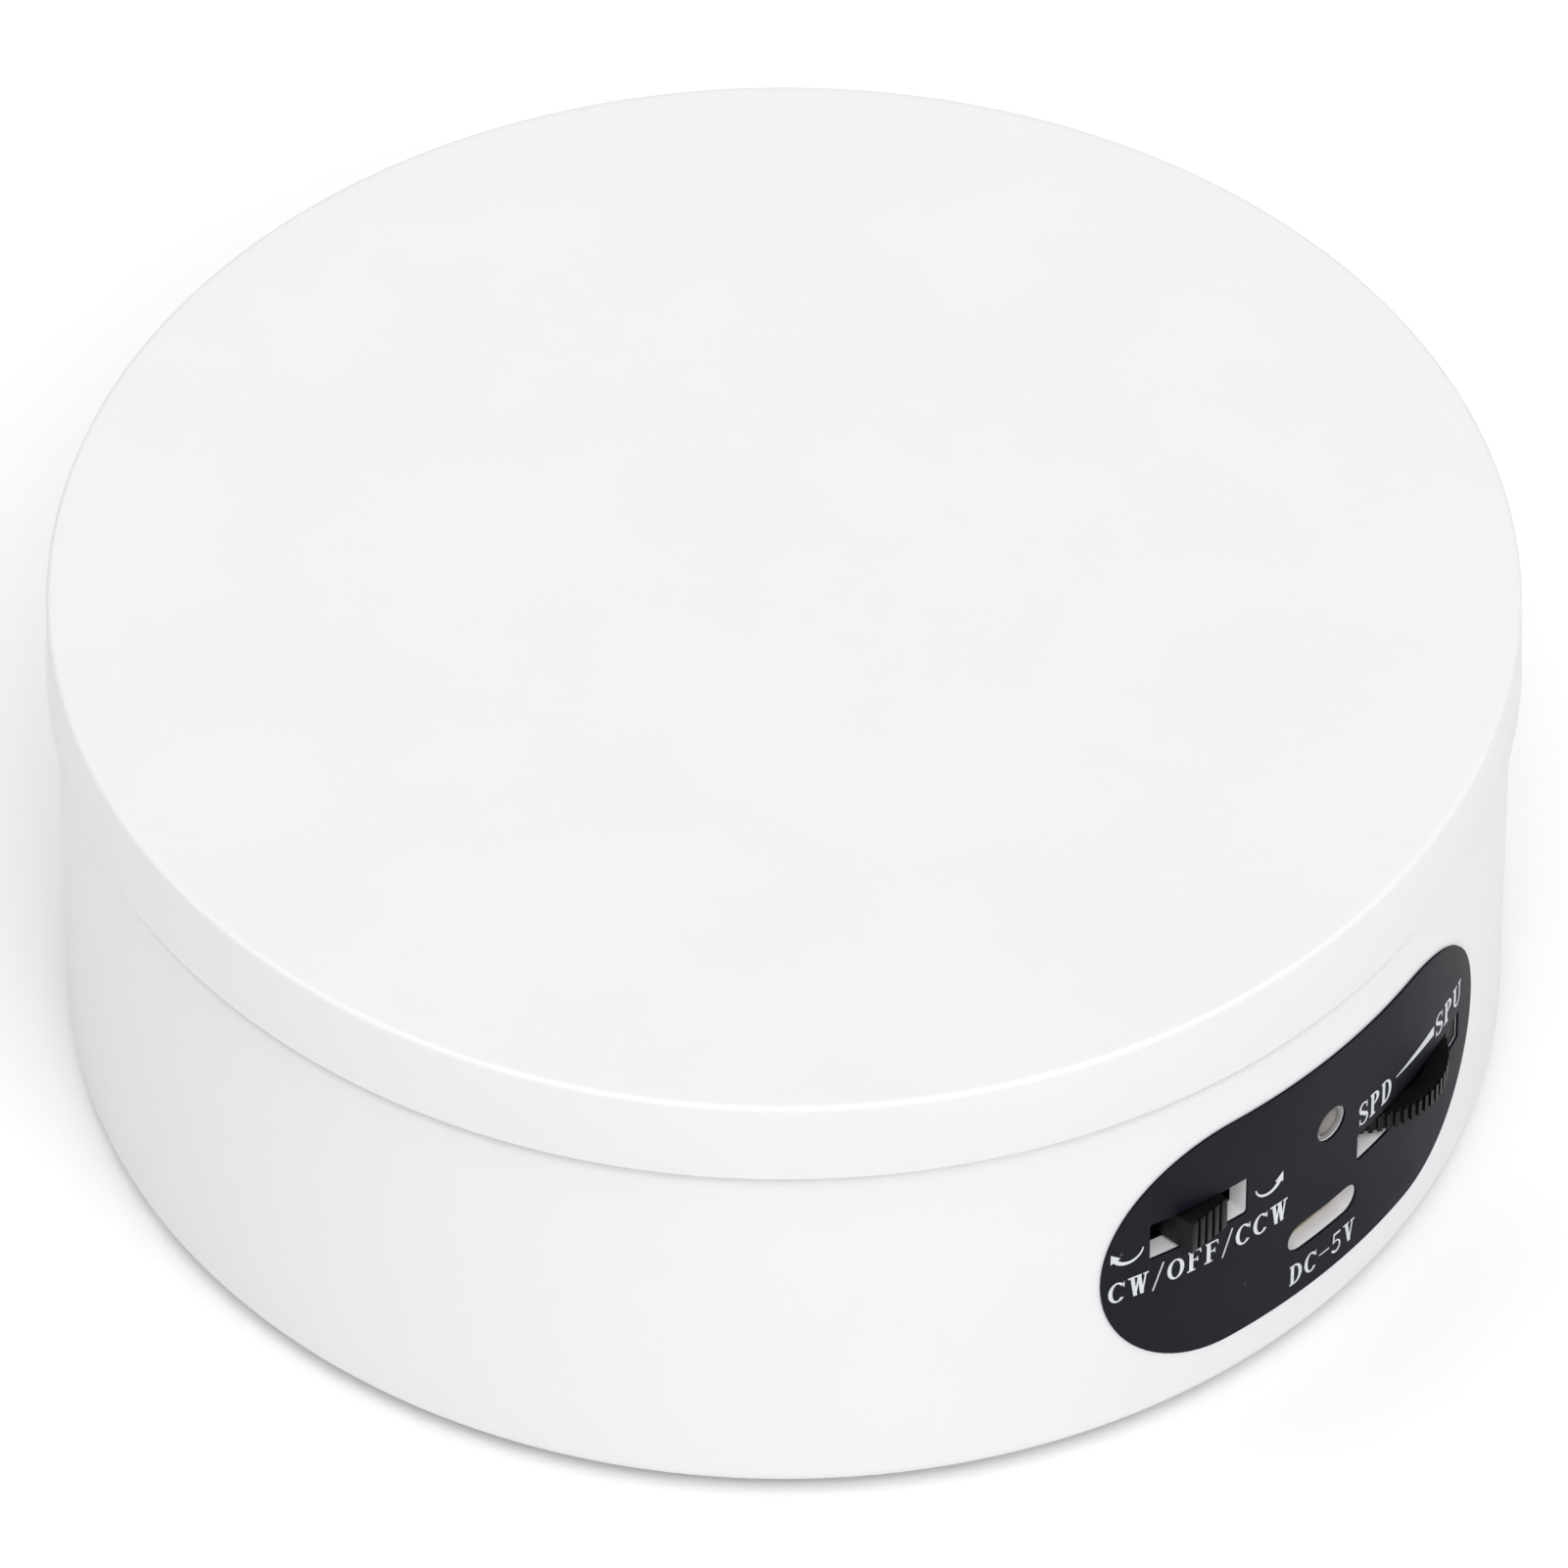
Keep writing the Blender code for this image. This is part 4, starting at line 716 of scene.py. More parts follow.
@dataclass
class Panel:
    """Where the controls lie: along the wall from the label's centre, and up from the floor."""

    label_length: float = 56.3 * MM
    label_height: float = 30.0 * MM
    centre_height: float = 22.65 * MM
    window_radius: float = 2.0 * MM
    switch_slot: Point = (11.5 * MM, 4.8 * MM)
    socket_slot: Point = (10.0 * MM, 3.5 * MM)
    wheel_slot: Point = (20.1 * MM, 3.6 * MM)
    switch_corner: float = 0.25 * MM
    wheel_corner: float = 0.3 * MM
    window_place: Point = (0.25 * MM, 28.3 * MM)
    switch_place: Point = (-17.0 * MM, 26.4 * MM)
    socket_place: Point = (-0.58 * MM, 15.6 * MM)
    wheel_place: Point = (14.5 * MM, 21.6 * MM)
    radius: float = field(default_factory=lambda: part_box("base_housing")[1].x)

    def openings(self, grow: float = 0.0) -> list[Loop]:
        """The loops of the panel's openings.

        Args:
            grow: how much wider and higher each is made.

        Returns:
            One loop for each opening, in (along, up).
        """
        window = self.window_radius + grow / 2
        slots = (self.socket_slot, self.switch_slot, self.wheel_slot)
        socket, switch, wheel = ((width + grow, height + grow) for width, height in slots)
        return [
            ellipse(self.window_place, (window, window), 48),
            stadium(self.socket_place, *socket, 12),
            rounded_box(self.switch_place, switch, self.switch_corner),
            rounded_box(self.wheel_place, wheel, self.wheel_corner),
        ]

    def along_to_x(self, along: float) -> float:
        """The x of a place along the wall."""
        return self.radius * math.sin(along / self.radius)

    def wrap(self, piece: bpy.types.Object, step: float = 0.9 * MM) -> None:
        """Bends a flat piece, drawn as (along, up, out), round the drum's front.

        Args:
            piece: the flat mesh, whose z is how far it stands out of the wall.
            step: the length of one facet along the wall.
        """
        reach = max(abs(corner[0]) for corner in piece.bound_box)
        count = math.ceil(reach / step)
        with editing(piece):
            for i in range(-count, count + 1):
                bpy.ops.mesh.select_all(action="SELECT")
                bpy.ops.mesh.bisect(plane_co=(i * step, 0.0, 0.0), plane_no=(1.0, 0.0, 0.0))
        for vertex in piece.data.vertices:
            along, height, out = vertex.co
            angle, radius = along / self.radius, self.radius + out
            vertex.co = (radius * math.sin(angle), -radius * math.cos(angle), height)
        tidy(piece)


@dataclass
class Drum:
    """The white base: wall, deck and lip in one moulding, with the panel's openings and the screw posts and
    roller slots under its deck.
    """

    panel: Panel
    wall: float = 2.0 * MM
    deck: float = 2.4 * MM
    seam: float = 1.0 * MM
    shoulder: float = 1.2 * MM
    bottom_edge: float = 2.0 * MM
    lip_wall: float = 1.4 * MM
    lip_outer: float = 70.0 * MM
    boss_radius: float = 8.0 * MM
    boss_height: float = 4.5 * MM
    bore: float = 4.9 * MM
    post_gap: float = 0.3 * MM
    post_core: float = 1.2 * MM
    pilot_radius: float = 1.3 * MM
    pilot_depth: float = 10.0 * MM
    root: float = 0.5 * MM
    lug_place: float = 4.1 * MM
    lug_half: Point = (1.0 * MM, 2.5 * MM)
    lug_top: float = 2.1 * MM
    roller_room: float = 0.6 * MM
    pin_bore: float = 1.25 * MM
    pin_reach: float = 7.0 * MM

    @property
    def deck_top(self) -> float:
        """The height of the deck's upper face, a seam below the platter."""
        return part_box("platter")[0].z - self.seam

    @property
    def deck_under(self) -> float:
        """The height of the deck's underside."""
        return self.deck_top - self.deck

    def profile(self) -> Loop:
        """The drum's section, a closed loop that starts at the deck's bore."""
        low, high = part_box("base_housing")
        deck_top, under = self.deck_top, self.deck_under
        radius, inner = high.x, high.x - self.wall
        lip_inner = self.lip_outer - self.lip_wall
        start = (self.bore, deck_top)
        points = [start, (lip_inner, deck_top), (lip_inner, high.z), (self.lip_outer, high.z)]
        points += [(self.lip_outer, deck_top)]
        points += arc((radius - self.shoulder, deck_top - self.shoulder),
                      (self.shoulder, self.shoulder), 90, 0, 10)
        points += arc((radius - self.bottom_edge, low.z + self.bottom_edge),
                      (self.bottom_edge, self.bottom_edge), 0, -84, 10)
        points += [(inner, low.z), (inner, under), (self.boss_radius, under)]
        points += [(self.boss_radius, under - self.boss_height), (self.bore, under - self.boss_height)]
        return points + [start]

    def build(self) -> None:
        """Turns the drum, cuts its openings and dresses it."""
        drum = lathe("drum_shell", self.profile(), WIDE_STEPS)
        radius = self.panel.radius
        for loop in self.panel.openings():
            flat = [(self.panel.along_to_x(along), height) for along, height in loop]
            tool = sheet_cut("opening", [flat], radius - 5 * self.wall, radius + 2 * self.wall)
            face_front(tool)
            combine(drum, tool, Work.CUT)
        self.add_posts(drum)
        self.cut_roller_slots(drum)
        smooth(drum)
        dress(drum, "base", Slot.WHITE, stands_for=["base_housing"])

    def add_posts(self, drum: bpy.types.Object) -> None:
        """Joins the screw posts under the deck, one over each screw that goes up into it."""
        for screw, seat, wall in (
            ("cover_screw", "bottom_cover", 2.3 * MM),
            ("plate_screw", "gear_plate", 2.2 * MM),
            ("board_screw", "circuit_board", 2.0 * MM),
        ):
            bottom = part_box(seat)[1].z + self.post_gap
            for node in nodes_like(screw):
                centre = round_place(node)[0]
                post = rod("post", centre, self.post_core + wall, bottom, self.deck_under + self.root)
                combine(drum, post, Work.ADD)
                pilot = rod("pilot", centre, self.pilot_radius, bottom - MM, bottom + self.pilot_depth, 24)
                combine(drum, pilot, Work.CUT)

    def cut_roller_slots(self, drum: bpy.types.Object) -> None:
        """Opens the deck under each roller, and adds the two lugs that hold its pin."""
        under = self.deck_under
        for node in nodes_like("support_roller"):
            low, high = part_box(node)
            middle, half = (low + high) / 2, (high - low) / 2
            radial = Vector((middle.x, middle.y, 0.0)).normalized()
            side = Vector((-radial.y, radial.x, 0.0))
            reach = radial * self.lug_half[0] + side * self.lug_half[1]
            x, y = abs(reach.x), abs(reach.y)
            for end in (-1, 1):
                centre = middle + radial * end * self.lug_place
                low_corner = (centre.x - x, centre.y - y, under + self.root)
                high_corner = (centre.x + x, centre.y + y, middle.z + self.lug_top)
                combine(drum, block("lug", low_corner, high_corner), Work.ADD)
            x, y = half.x + self.roller_room, half.y + self.roller_room
            low_corner = (middle.x - x, middle.y - y, under - MM)
            high_corner = (middle.x + x, middle.y + y, high.z)
            combine(drum, block("slot", low_corner, high_corner), Work.CUT)
            bore = rod("bore", (0.0, 0.0), self.pin_bore, -self.pin_reach, self.pin_reach, 24)
            turn = radial.to_track_quat("Z", "Y").to_matrix().to_4x4()
            bore.matrix_world = Matrix.Translation(middle) @ turn
            settle(bore)
            combine(drum, bore, Work.CUT)


@dataclass
class Underside:
    """The bottom cover with its stiffening rings, its cross-head screws and its rubber feet."""

    foot_gap: float = 0.3 * MM
    groove_depth: float = 0.5 * MM
    groove_rings: tuple[float, ...] = (26.0 * MM, 44.0 * MM)
    groove_wall: float = 1.6 * MM
    groove_draft: float = 0.2 * MM
    cover_edge: float = 0.3 * MM
    seat_depth: float = 1.5 * MM
    hole_radius: float = 1.5 * MM
    vent_count: int = 8
    vent_ring: float = 17.0 * MM
    vent_size: Point = (9.0 * MM, 1.6 * MM)
    foot_bead: float = 0.6 * MM
    foot_dish: float = 0.25 * MM
    screw_head: float = 1.2 * MM
    screw_shank: float = 1.2 * MM
    thread_pitch: float = 0.7 * MM
    thread_depth: float = 0.28 * MM
    cross_depth: float = 0.75 * MM
    cross_turn: float = 0.6

    def build(self) -> None:
        """Makes the cover, the feet and the screws."""
        self.build_cover()
        for node in nodes_like("rubber_foot"):
            self.build_foot(node)
        for node in nodes_like("cover_screw"):
            self.build_screw(node)

    def build_cover(self) -> None:
        """Turns the cover with its ring grooves, then cuts seats, recesses and vents."""
        low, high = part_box("bottom_cover")
        points = [(0.0, high.z), (high.x, high.z)]
        points += [(high.x, low.z + self.cover_edge), (high.x - self.cover_edge, low.z)]
        top = low.z + self.groove_depth
        for ring in sorted(self.groove_rings, reverse=True):
            outer, inner = ring + self.groove_wall / 2, ring - self.groove_wall / 2
            points += [(outer, low.z), (outer - self.groove_draft, top)]
            points += [(inner + self.groove_draft, top), (inner, low.z)]
        cover = lathe("underside_cover", points + [(0.0, low.z)], WIDE_STEPS // 2)
        recesses = [(node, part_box(node)[1].z + self.foot_gap) for node in nodes_like("rubber_foot")]
        recesses += [(node, low.z + self.seat_depth) for node in nodes_like("cover_screw")]
        for node, depth in recesses:
            centre, radius = round_place(node)
            recess = rod("recess", centre, radius + self.foot_gap, low.z - MM, depth, ROUND_STEPS)
            combine(cover, recess, Work.CUT)
        for node in nodes_like("cover_screw"):
            hole = rod("hole", round_place(node)[0], self.hole_radius, low.z - MM, high.z + MM, 24)
            combine(cover, hole, Work.CUT)
        slot = stadium((self.vent_ring, 0.0), *self.vent_size, 8)
        for number in range(self.vent_count):
            vent = sheet_cut("vent", [slot], low.z - MM, high.z + MM)
            vent.rotation_euler.z = math.tau * (number + 0.5) / self.vent_count
            settle(vent)
            combine(cover, vent, Work.CUT)
        smooth(cover)
        dress(cover, "base", Slot.WHITE, stands_for=["bottom_cover"])

    def build_foot(self, node: str) -> None:
        """A moulded foot with a rounded tread and a shallow dish in its middle."""
        (x, y), radius = round_place(node)
        low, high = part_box(node)
        bead, dish = self.foot_bead, self.foot_dish
        points = [(0.0, high.z), (radius, high.z)]
        points += arc((radius - bead, low.z + bead), (bead, bead), 0, -90, 6)
        points += [(0.68 * radius, low.z), (0.62 * radius, low.z + dish), (0.0, low.z + dish)]
        foot = lathe(node.replace("rubber_foot", "foot_pad"), points)
        foot.location = (x, y, 0.0)
        settle(foot)
        smooth(foot)
        dress(foot, "base", Slot.RUBBER, stands_for=[node])

    def build_screw(self, node: str) -> None:
        """A self-tapping screw: a domed head with a cross recess, and a thread of stacked ridges."""
        (x, y), radius = round_place(node)
        low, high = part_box(node)
        head, shank, pitch = self.screw_head, self.screw_shank, self.thread_pitch
        core = shank - self.thread_depth
        dome = arc((0.0, low.z + head), (radius, head), -90, 0, 8)
        points = [*dome, (core, low.z + head)]
        height = low.z + head + 0.3 * MM
        while height < high.z - 1.6 * pitch:
            points += [(core, height), (shank, height + 0.4 * pitch), (core, height + 0.8 * pitch)]
            height += pitch
        points += [(core, height), (0.0, high.z)]
        screw = lathe(node.replace("cover_screw", "case_screw"), points, 32)
        bottom, top = low.z - MM, low.z + self.cross_depth
        long, short = 0.62 * radius, 0.14 * radius
        for half_x, half_y in ((long, short), (short, long)):
            cross = block("cross", (-half_x, -half_y, bottom), (half_x, half_y, top))
            combine(screw, cross, Work.CUT)
        screw.rotation_euler.z = self.cross_turn * x / y
        screw.location = (x, y, 0.0)
        settle(screw)
        smooth(screw)
        dress(screw, "base", Slot.SCREW, stands_for=[node])


# ---------------------------------------------------------------- control panel

@dataclass
class Label:
    """The black film round the front of the wall, and the legends printed on it.

    A text is given with its left end, width, baseline and height, and an arrow with its
    centre and the side of its head, all in millimetres along the wall and up.
    """

    panel: Panel
    film: float = 0.28 * MM
    lift: float = 0.02 * MM
    ink: float = 0.03 * MM
    ink_root: float = 0.01 * MM
    window_gap: float = 0.1 * MM
    wedge_tip: Point = (10.85 * MM, 26.35 * MM)
    wedge_size: Point = (7.5 * MM, 1.2 * MM)
    arrow_radius: float = 1.65 * MM
    arrows: tuple[tuple[float, float, int], ...] = ((-25.2, 26.5, -1), (-8.5, 26.5, 1))
    texts: tuple[tuple[str, float, float, float, float], ...] = (
        ("CW/OFF/CCW", -27.35, 21.5, 19.8, 2.75),
        ("DC-5V", -5.3, 9.6, 9.4, 2.7),
        ("SPD", 4.55, 5.45, 24.45, 3.0),
        ("SPU", 18.8, 6.1, 24.8, 2.9),
    )

    def build(self) -> None:
        """Cuts, bends and dresses the film, then prints on it."""
        panel = self.panel
        centre = (0.0, panel.centre_height)
        outline = stadium(centre, panel.label_length, panel.label_height, 40)
        film = sheet_cut("panel_film", [outline, *panel.openings(self.window_gap)], self.lift, self.film)
        panel.wrap(film)
        smooth(film, 40.0)
        dress(film, "base", Slot.LABEL, stands_for=["control_label"])
        self.print_legends()

    def print_legends(self) -> None:
        """Draws every legend flat, joins them to one print, and bends it onto the film."""
        legends = Legends()
        shapes = []
        for text, left, width, baseline, height in self.texts:
            shapes += legends.line(text, (left * MM, baseline * MM), width * MM, height * MM)
        shapes.append(legends.wedge(self.wedge_tip, *self.wedge_size))
        for along, height, side in self.arrows:
            shapes += legends.turn_arrow((along * MM, height * MM), self.arrow_radius, side)
        low = self.film - self.ink_root
        inks = [sheet_cut("ink", loops, low, self.film + self.ink) for loops in shapes]
        prints = join("panel_print", inks)
        with editing(prints):
            bpy.ops.mesh.select_all(action="SELECT")
            bpy.ops.mesh.intersect_boolean(operation="UNION", use_self=True, solver="EXACT")
        self.panel.wrap(prints, 1.2 * MM)
        dress(prints, "base", Slot.LABEL, LABEL_INK)


@dataclass
class Legends:
    """Plain upright letters with thick stems, thin bars and small serifs, drawn from bars and arcs.

    A letter is drawn one unit high, from x = 0, as a list of shapes. A shape is a list of
    loops: its outline, then its holes.
    """

    stem: float = 0.165
    bar: float = 0.07
    serif: float = 0.09
    gap: float = 0.14

    @property
    def top(self) -> float:
        """The underside of a bar or serif at the upper end of a letter."""
        return 1.0 - self.bar

    def bar_between(self, start: Point, end: Point, width: float) -> Loop:
        """A straight stroke whose width is measured along x."""
        half = width / 2
        return [(start[0] - half, start[1]), (start[0] + half, start[1]),
                (end[0] + half, end[1]), (end[0] - half, end[1])]

    def level(self, left: float, right: float, height: float, width: float | None = None) -> Loop:
        """A level stroke whose underside lies at a height."""
        width = width or self.bar
        return [(left, height), (right, height), (right, height + width), (left, height + width)]

    def foot(self, x: float, height: float, reach: float | None = None) -> Loop:
        """A serif across a stem's end."""
        reach = reach or self.stem / 2 + self.serif
        return self.level(x - reach, x + reach, height)

    def ring(self, centre: Point, outer: Point, start: float, end: float, thick: float) -> Loop:
        """A bow that is thick at its sides and thin at its top and bottom."""
        inner = (outer[0] - thick, outer[1] - self.bar)
        return arc(centre, outer, start, end, 22) + arc(centre, inner, end, start, 22)

    def glyph(self, letter: str) -> tuple[float, list[list[Loop]]]:
        """One letter.

        Args:
            letter: the letter, digit or sign.

        Returns:
            Its width and its shapes.
        """
        draw = {
            "C": self.draw_c, "D": self.draw_d, "F": self.draw_f, "O": self.draw_o, "P": self.draw_p,
            "S": self.draw_s, "U": self.draw_u, "V": self.draw_v, "W": self.draw_w, "5": self.draw_five,
            "-": self.draw_dash, "/": self.draw_slash,
        }
        return draw[letter]()

    def draw_c(self) -> tuple[float, list[list[Loop]]]:
        """A bow open to the right, with a beak at its upper end."""
        bow = self.ring((0.36, 0.5), (0.36, 0.5), 42, 318, self.stem)
        beak = [(0.60, 0.70), (0.655, 0.70), (0.655, 0.98), (0.60, 0.86)]
        return 0.68, [[bow], [beak]]

    def draw_o(self) -> tuple[float, list[list[Loop]]]:
        """A closed bow."""
        outer = ellipse((0.36, 0.5), (0.36, 0.5), 36)
        inner = ellipse((0.36, 0.5), (0.36 - self.stem, 0.5 - self.bar), 36)
        return 0.72, [[outer, inner]]

    def draw_d(self) -> tuple[float, list[list[Loop]]]:
        """A stem and a full-height bow."""
        bow = self.ring((0.28, 0.5), (0.40, 0.5), -90, 90, self.stem)
        stem = self.bar_between((0.16, 0.0), (0.16, 1.0), self.stem)
        return 0.70, [[bow], [stem], [self.level(0.02, 0.30, 0.0)], [self.level(0.02, 0.30, self.top)]]

    def draw_f(self) -> tuple[float, list[list[Loop]]]:
        """A stem, a long bar on top, a short one in the middle, and a foot."""
        stem = self.bar_between((0.17, 0.0), (0.17, 1.0), self.stem)
        top = self.level(0.03, 0.58, self.top)
        tip = [(0.53, 1.0), (0.58, 1.0), (0.60, 0.76), (0.57, 0.76)]
        middle = self.level(0.17, 0.45, 0.49)
        tick = [(0.42, 0.40), (0.46, 0.40), (0.46, 0.63), (0.42, 0.63)]
        return 0.62, [[stem], [top], [tip], [middle], [tick], [self.foot(0.17, 0.0)]]

    def draw_p(self) -> tuple[float, list[list[Loop]]]:
        """A stem with a bow on its upper half, and a foot."""
        bow = self.ring((0.28, 0.735), (0.31, 0.265), -90, 90, self.stem)
        stem = self.bar_between((0.17, 0.0), (0.17, 1.0), self.stem)
        joins = [[self.level(0.17, 0.30, 0.47)], [self.level(0.03, 0.30, self.top)]]
        return 0.62, [[bow], [stem], *joins, [self.foot(0.17, 0.0)]]

    def draw_s(self) -> tuple[float, list[list[Loop]]]:
        """Two bows joined by a slanting spine, with a beak at each end."""
        upper = self.swelling((0.28, 0.745), (0.23, 0.23), 35, 250, 0.05, 0.12)
        lower = self.swelling((0.28, 0.255), (0.24, 0.23), 70, -145, 0.12, 0.05)
        spine = [(0.08, 0.60), (0.20, 0.68), (0.48, 0.40), (0.36, 0.32)]
        beaks = [[[(0.46, 0.70), (0.505, 0.70), (0.505, 1.0), (0.46, 0.90)]],
                 [[(0.04, 0.0), (0.085, 0.10), (0.085, 0.30), (0.04, 0.30)]]]
        return 0.56, [[upper], [lower], [spine], *beaks]

    @staticmethod
    def swelling(centre: Point, radii: Point, start: float, end: float, first: float, last: float,
                 steps: int = 18) -> Loop:
        """A bow whose width changes evenly from its first end to its last.

        Args:
            centre: the centre of its middle line.
            radii: the half-axes of its middle line.
            start: the first angle, in degrees.
            end: the last angle, in degrees.
            first: its width at the first end.
            last: its width at the last end.
            steps: the number of stretches.

        Returns:
            The bow's outline.
        """
        outer, inner = [], []
        for step in range(steps + 1):
            share = step / steps
            angle = math.radians(start + (end - start) * share)
            half = (first + (last - first) * share) / 2
            for line, sign in ((outer, 1), (inner, -1)):
                line.append((centre[0] + (radii[0] + sign * half) * math.cos(angle),
                             centre[1] + (radii[1] + sign * half) * math.sin(angle)))
        return outer + inner[::-1]

    def draw_u(self) -> tuple[float, list[list[Loop]]]:
        """A thick and a thin stem on a round bottom, each with a serif on top."""
        left = self.bar_between((0.17, 0.30), (0.17, 1.0), self.stem)
        right = self.bar_between((0.60, 0.30), (0.60, 1.0), self.bar)
        bow = self.swelling((0.375, 0.31), (0.225, 0.27), 183, 357, 0.11, 0.055)
        return 0.74, [[left], [right], [bow], [self.foot(0.17, self.top)], [self.foot(0.60, self.top, 0.12)]]

    def draw_v(self) -> tuple[float, list[list[Loop]]]:
        """A thick stroke down and a thin one up."""
        down = self.bar_between((0.17, 1.0), (0.37, 0.0), self.stem)
        rise = self.bar_between((0.37, 0.0), (0.56, 1.0), self.bar)
        return 0.70, [[down], [rise], [self.foot(0.17, self.top)], [self.foot(0.56, self.top, 0.12)]]

    def draw_w(self) -> tuple[float, list[list[Loop]]]:
        """Two thick strokes down and two thin ones up."""
        strokes = []
        for low, high, foot in ((0.15, 0.43, 0.29), (0.43, 0.72, 0.57)):
            strokes.append([self.bar_between((low, 1.0), (foot, 0.0), self.stem * 0.92)])
            strokes.append([self.bar_between((foot, 0.0), (high, 1.0), self.bar)])
        serifs = [[self.foot(x, self.top, reach)] for x, reach in ((0.15, None), (0.43, 0.11), (0.72, 0.11))]
        return 0.84, strokes + serifs

    def draw_five(self) -> tuple[float, list[list[Loop]]]:
        """A flag, a thin neck and a swelling bowl."""
        flag = self.level(0.12, 0.50, 0.90, 0.10)
        neck = self.bar_between((0.10, 0.52), (0.14, 1.0), self.bar)
        bowl = self.swelling((0.25, 0.31), (0.24, 0.28), 125, -150, 0.05, 0.11)
        return 0.56, [[flag], [neck], [bowl]]

    def draw_dash(self) -> tuple[float, list[list[Loop]]]:
        """A level dash."""
        return 0.62, [[self.level(0.02, 0.60, 0.47, 0.05)]]

    def draw_slash(self) -> tuple[float, list[list[Loop]]]:
        """A thin slanting stroke, a little taller than the letters."""
        return 0.50, [[self.bar_between((0.03, -0.12), (0.47, 1.14), 0.06)]]

    def line(self, text: str, corner: Point, width: float, height: float) -> list[list[Loop]]:
        """A line of letters fitted to a width.

        Args:
            text: the letters.
            corner: the left end of the baseline.
            width: the line's width.
            height: the height of its capitals.

        Returns:
            The shapes of all its letters.
        """
        glyphs = [self.glyph(letter) for letter in text]
        natural = sum(glyph[0] for glyph in glyphs) + self.gap * (len(glyphs) - 1)
        stretch = width / (natural * height)
        shapes, x = [], 0.0
        for advance, loops in glyphs:
            for shape in loops:
                shapes.append([
                    [(corner[0] + (x + px) * height * stretch, corner[1] + py * height) for px, py in loop]
                    for loop in shape
                ])
            x += advance + self.gap
        return shapes

    def wedge(self, tip: Point, length: float, height: float) -> list[Loop]:
        """The wedge that grows towards the faster side."""
        x, y = tip
        blunt, half = 0.04 * height, height / 2
        return [[(x, y - blunt), (x + length, y - half), (x + length, y + half), (x, y + blunt)]]

    def turn_arrow(self, centre: Point, radius: float, side: int) -> list[list[Loop]]:
        """A bow that hangs like a smile, with its head at the outer upper end.

        Args:
            centre: the bow's centre.
            radius: its radius.
            side: -1 for a head on the left, 1 for one on the right.

        Returns:
            The shapes of the bow and of its head.
        """
        start, end = (206.0, 352.0) if side < 0 else (334.0, 188.0)
        bow = self.swelling(centre, (radius, radius), start, end, 0.32 * radius, 0.08 * radius, 20)
        base_x, base_y = polar(radius, start)
        base = Vector((centre[0] + base_x, centre[1] + base_y))
        across = Vector((base_x, base_y)).normalized()
        ahead = Vector((side * abs(across.y), abs(across.x)))
        width, length = 0.36 * radius, 0.62 * radius
        back = base - ahead * 0.1 * radius
        head = [back + across * width, back - across * width, base + ahead * length]
        return [[bow], [[tuple(point) for point in head]]]


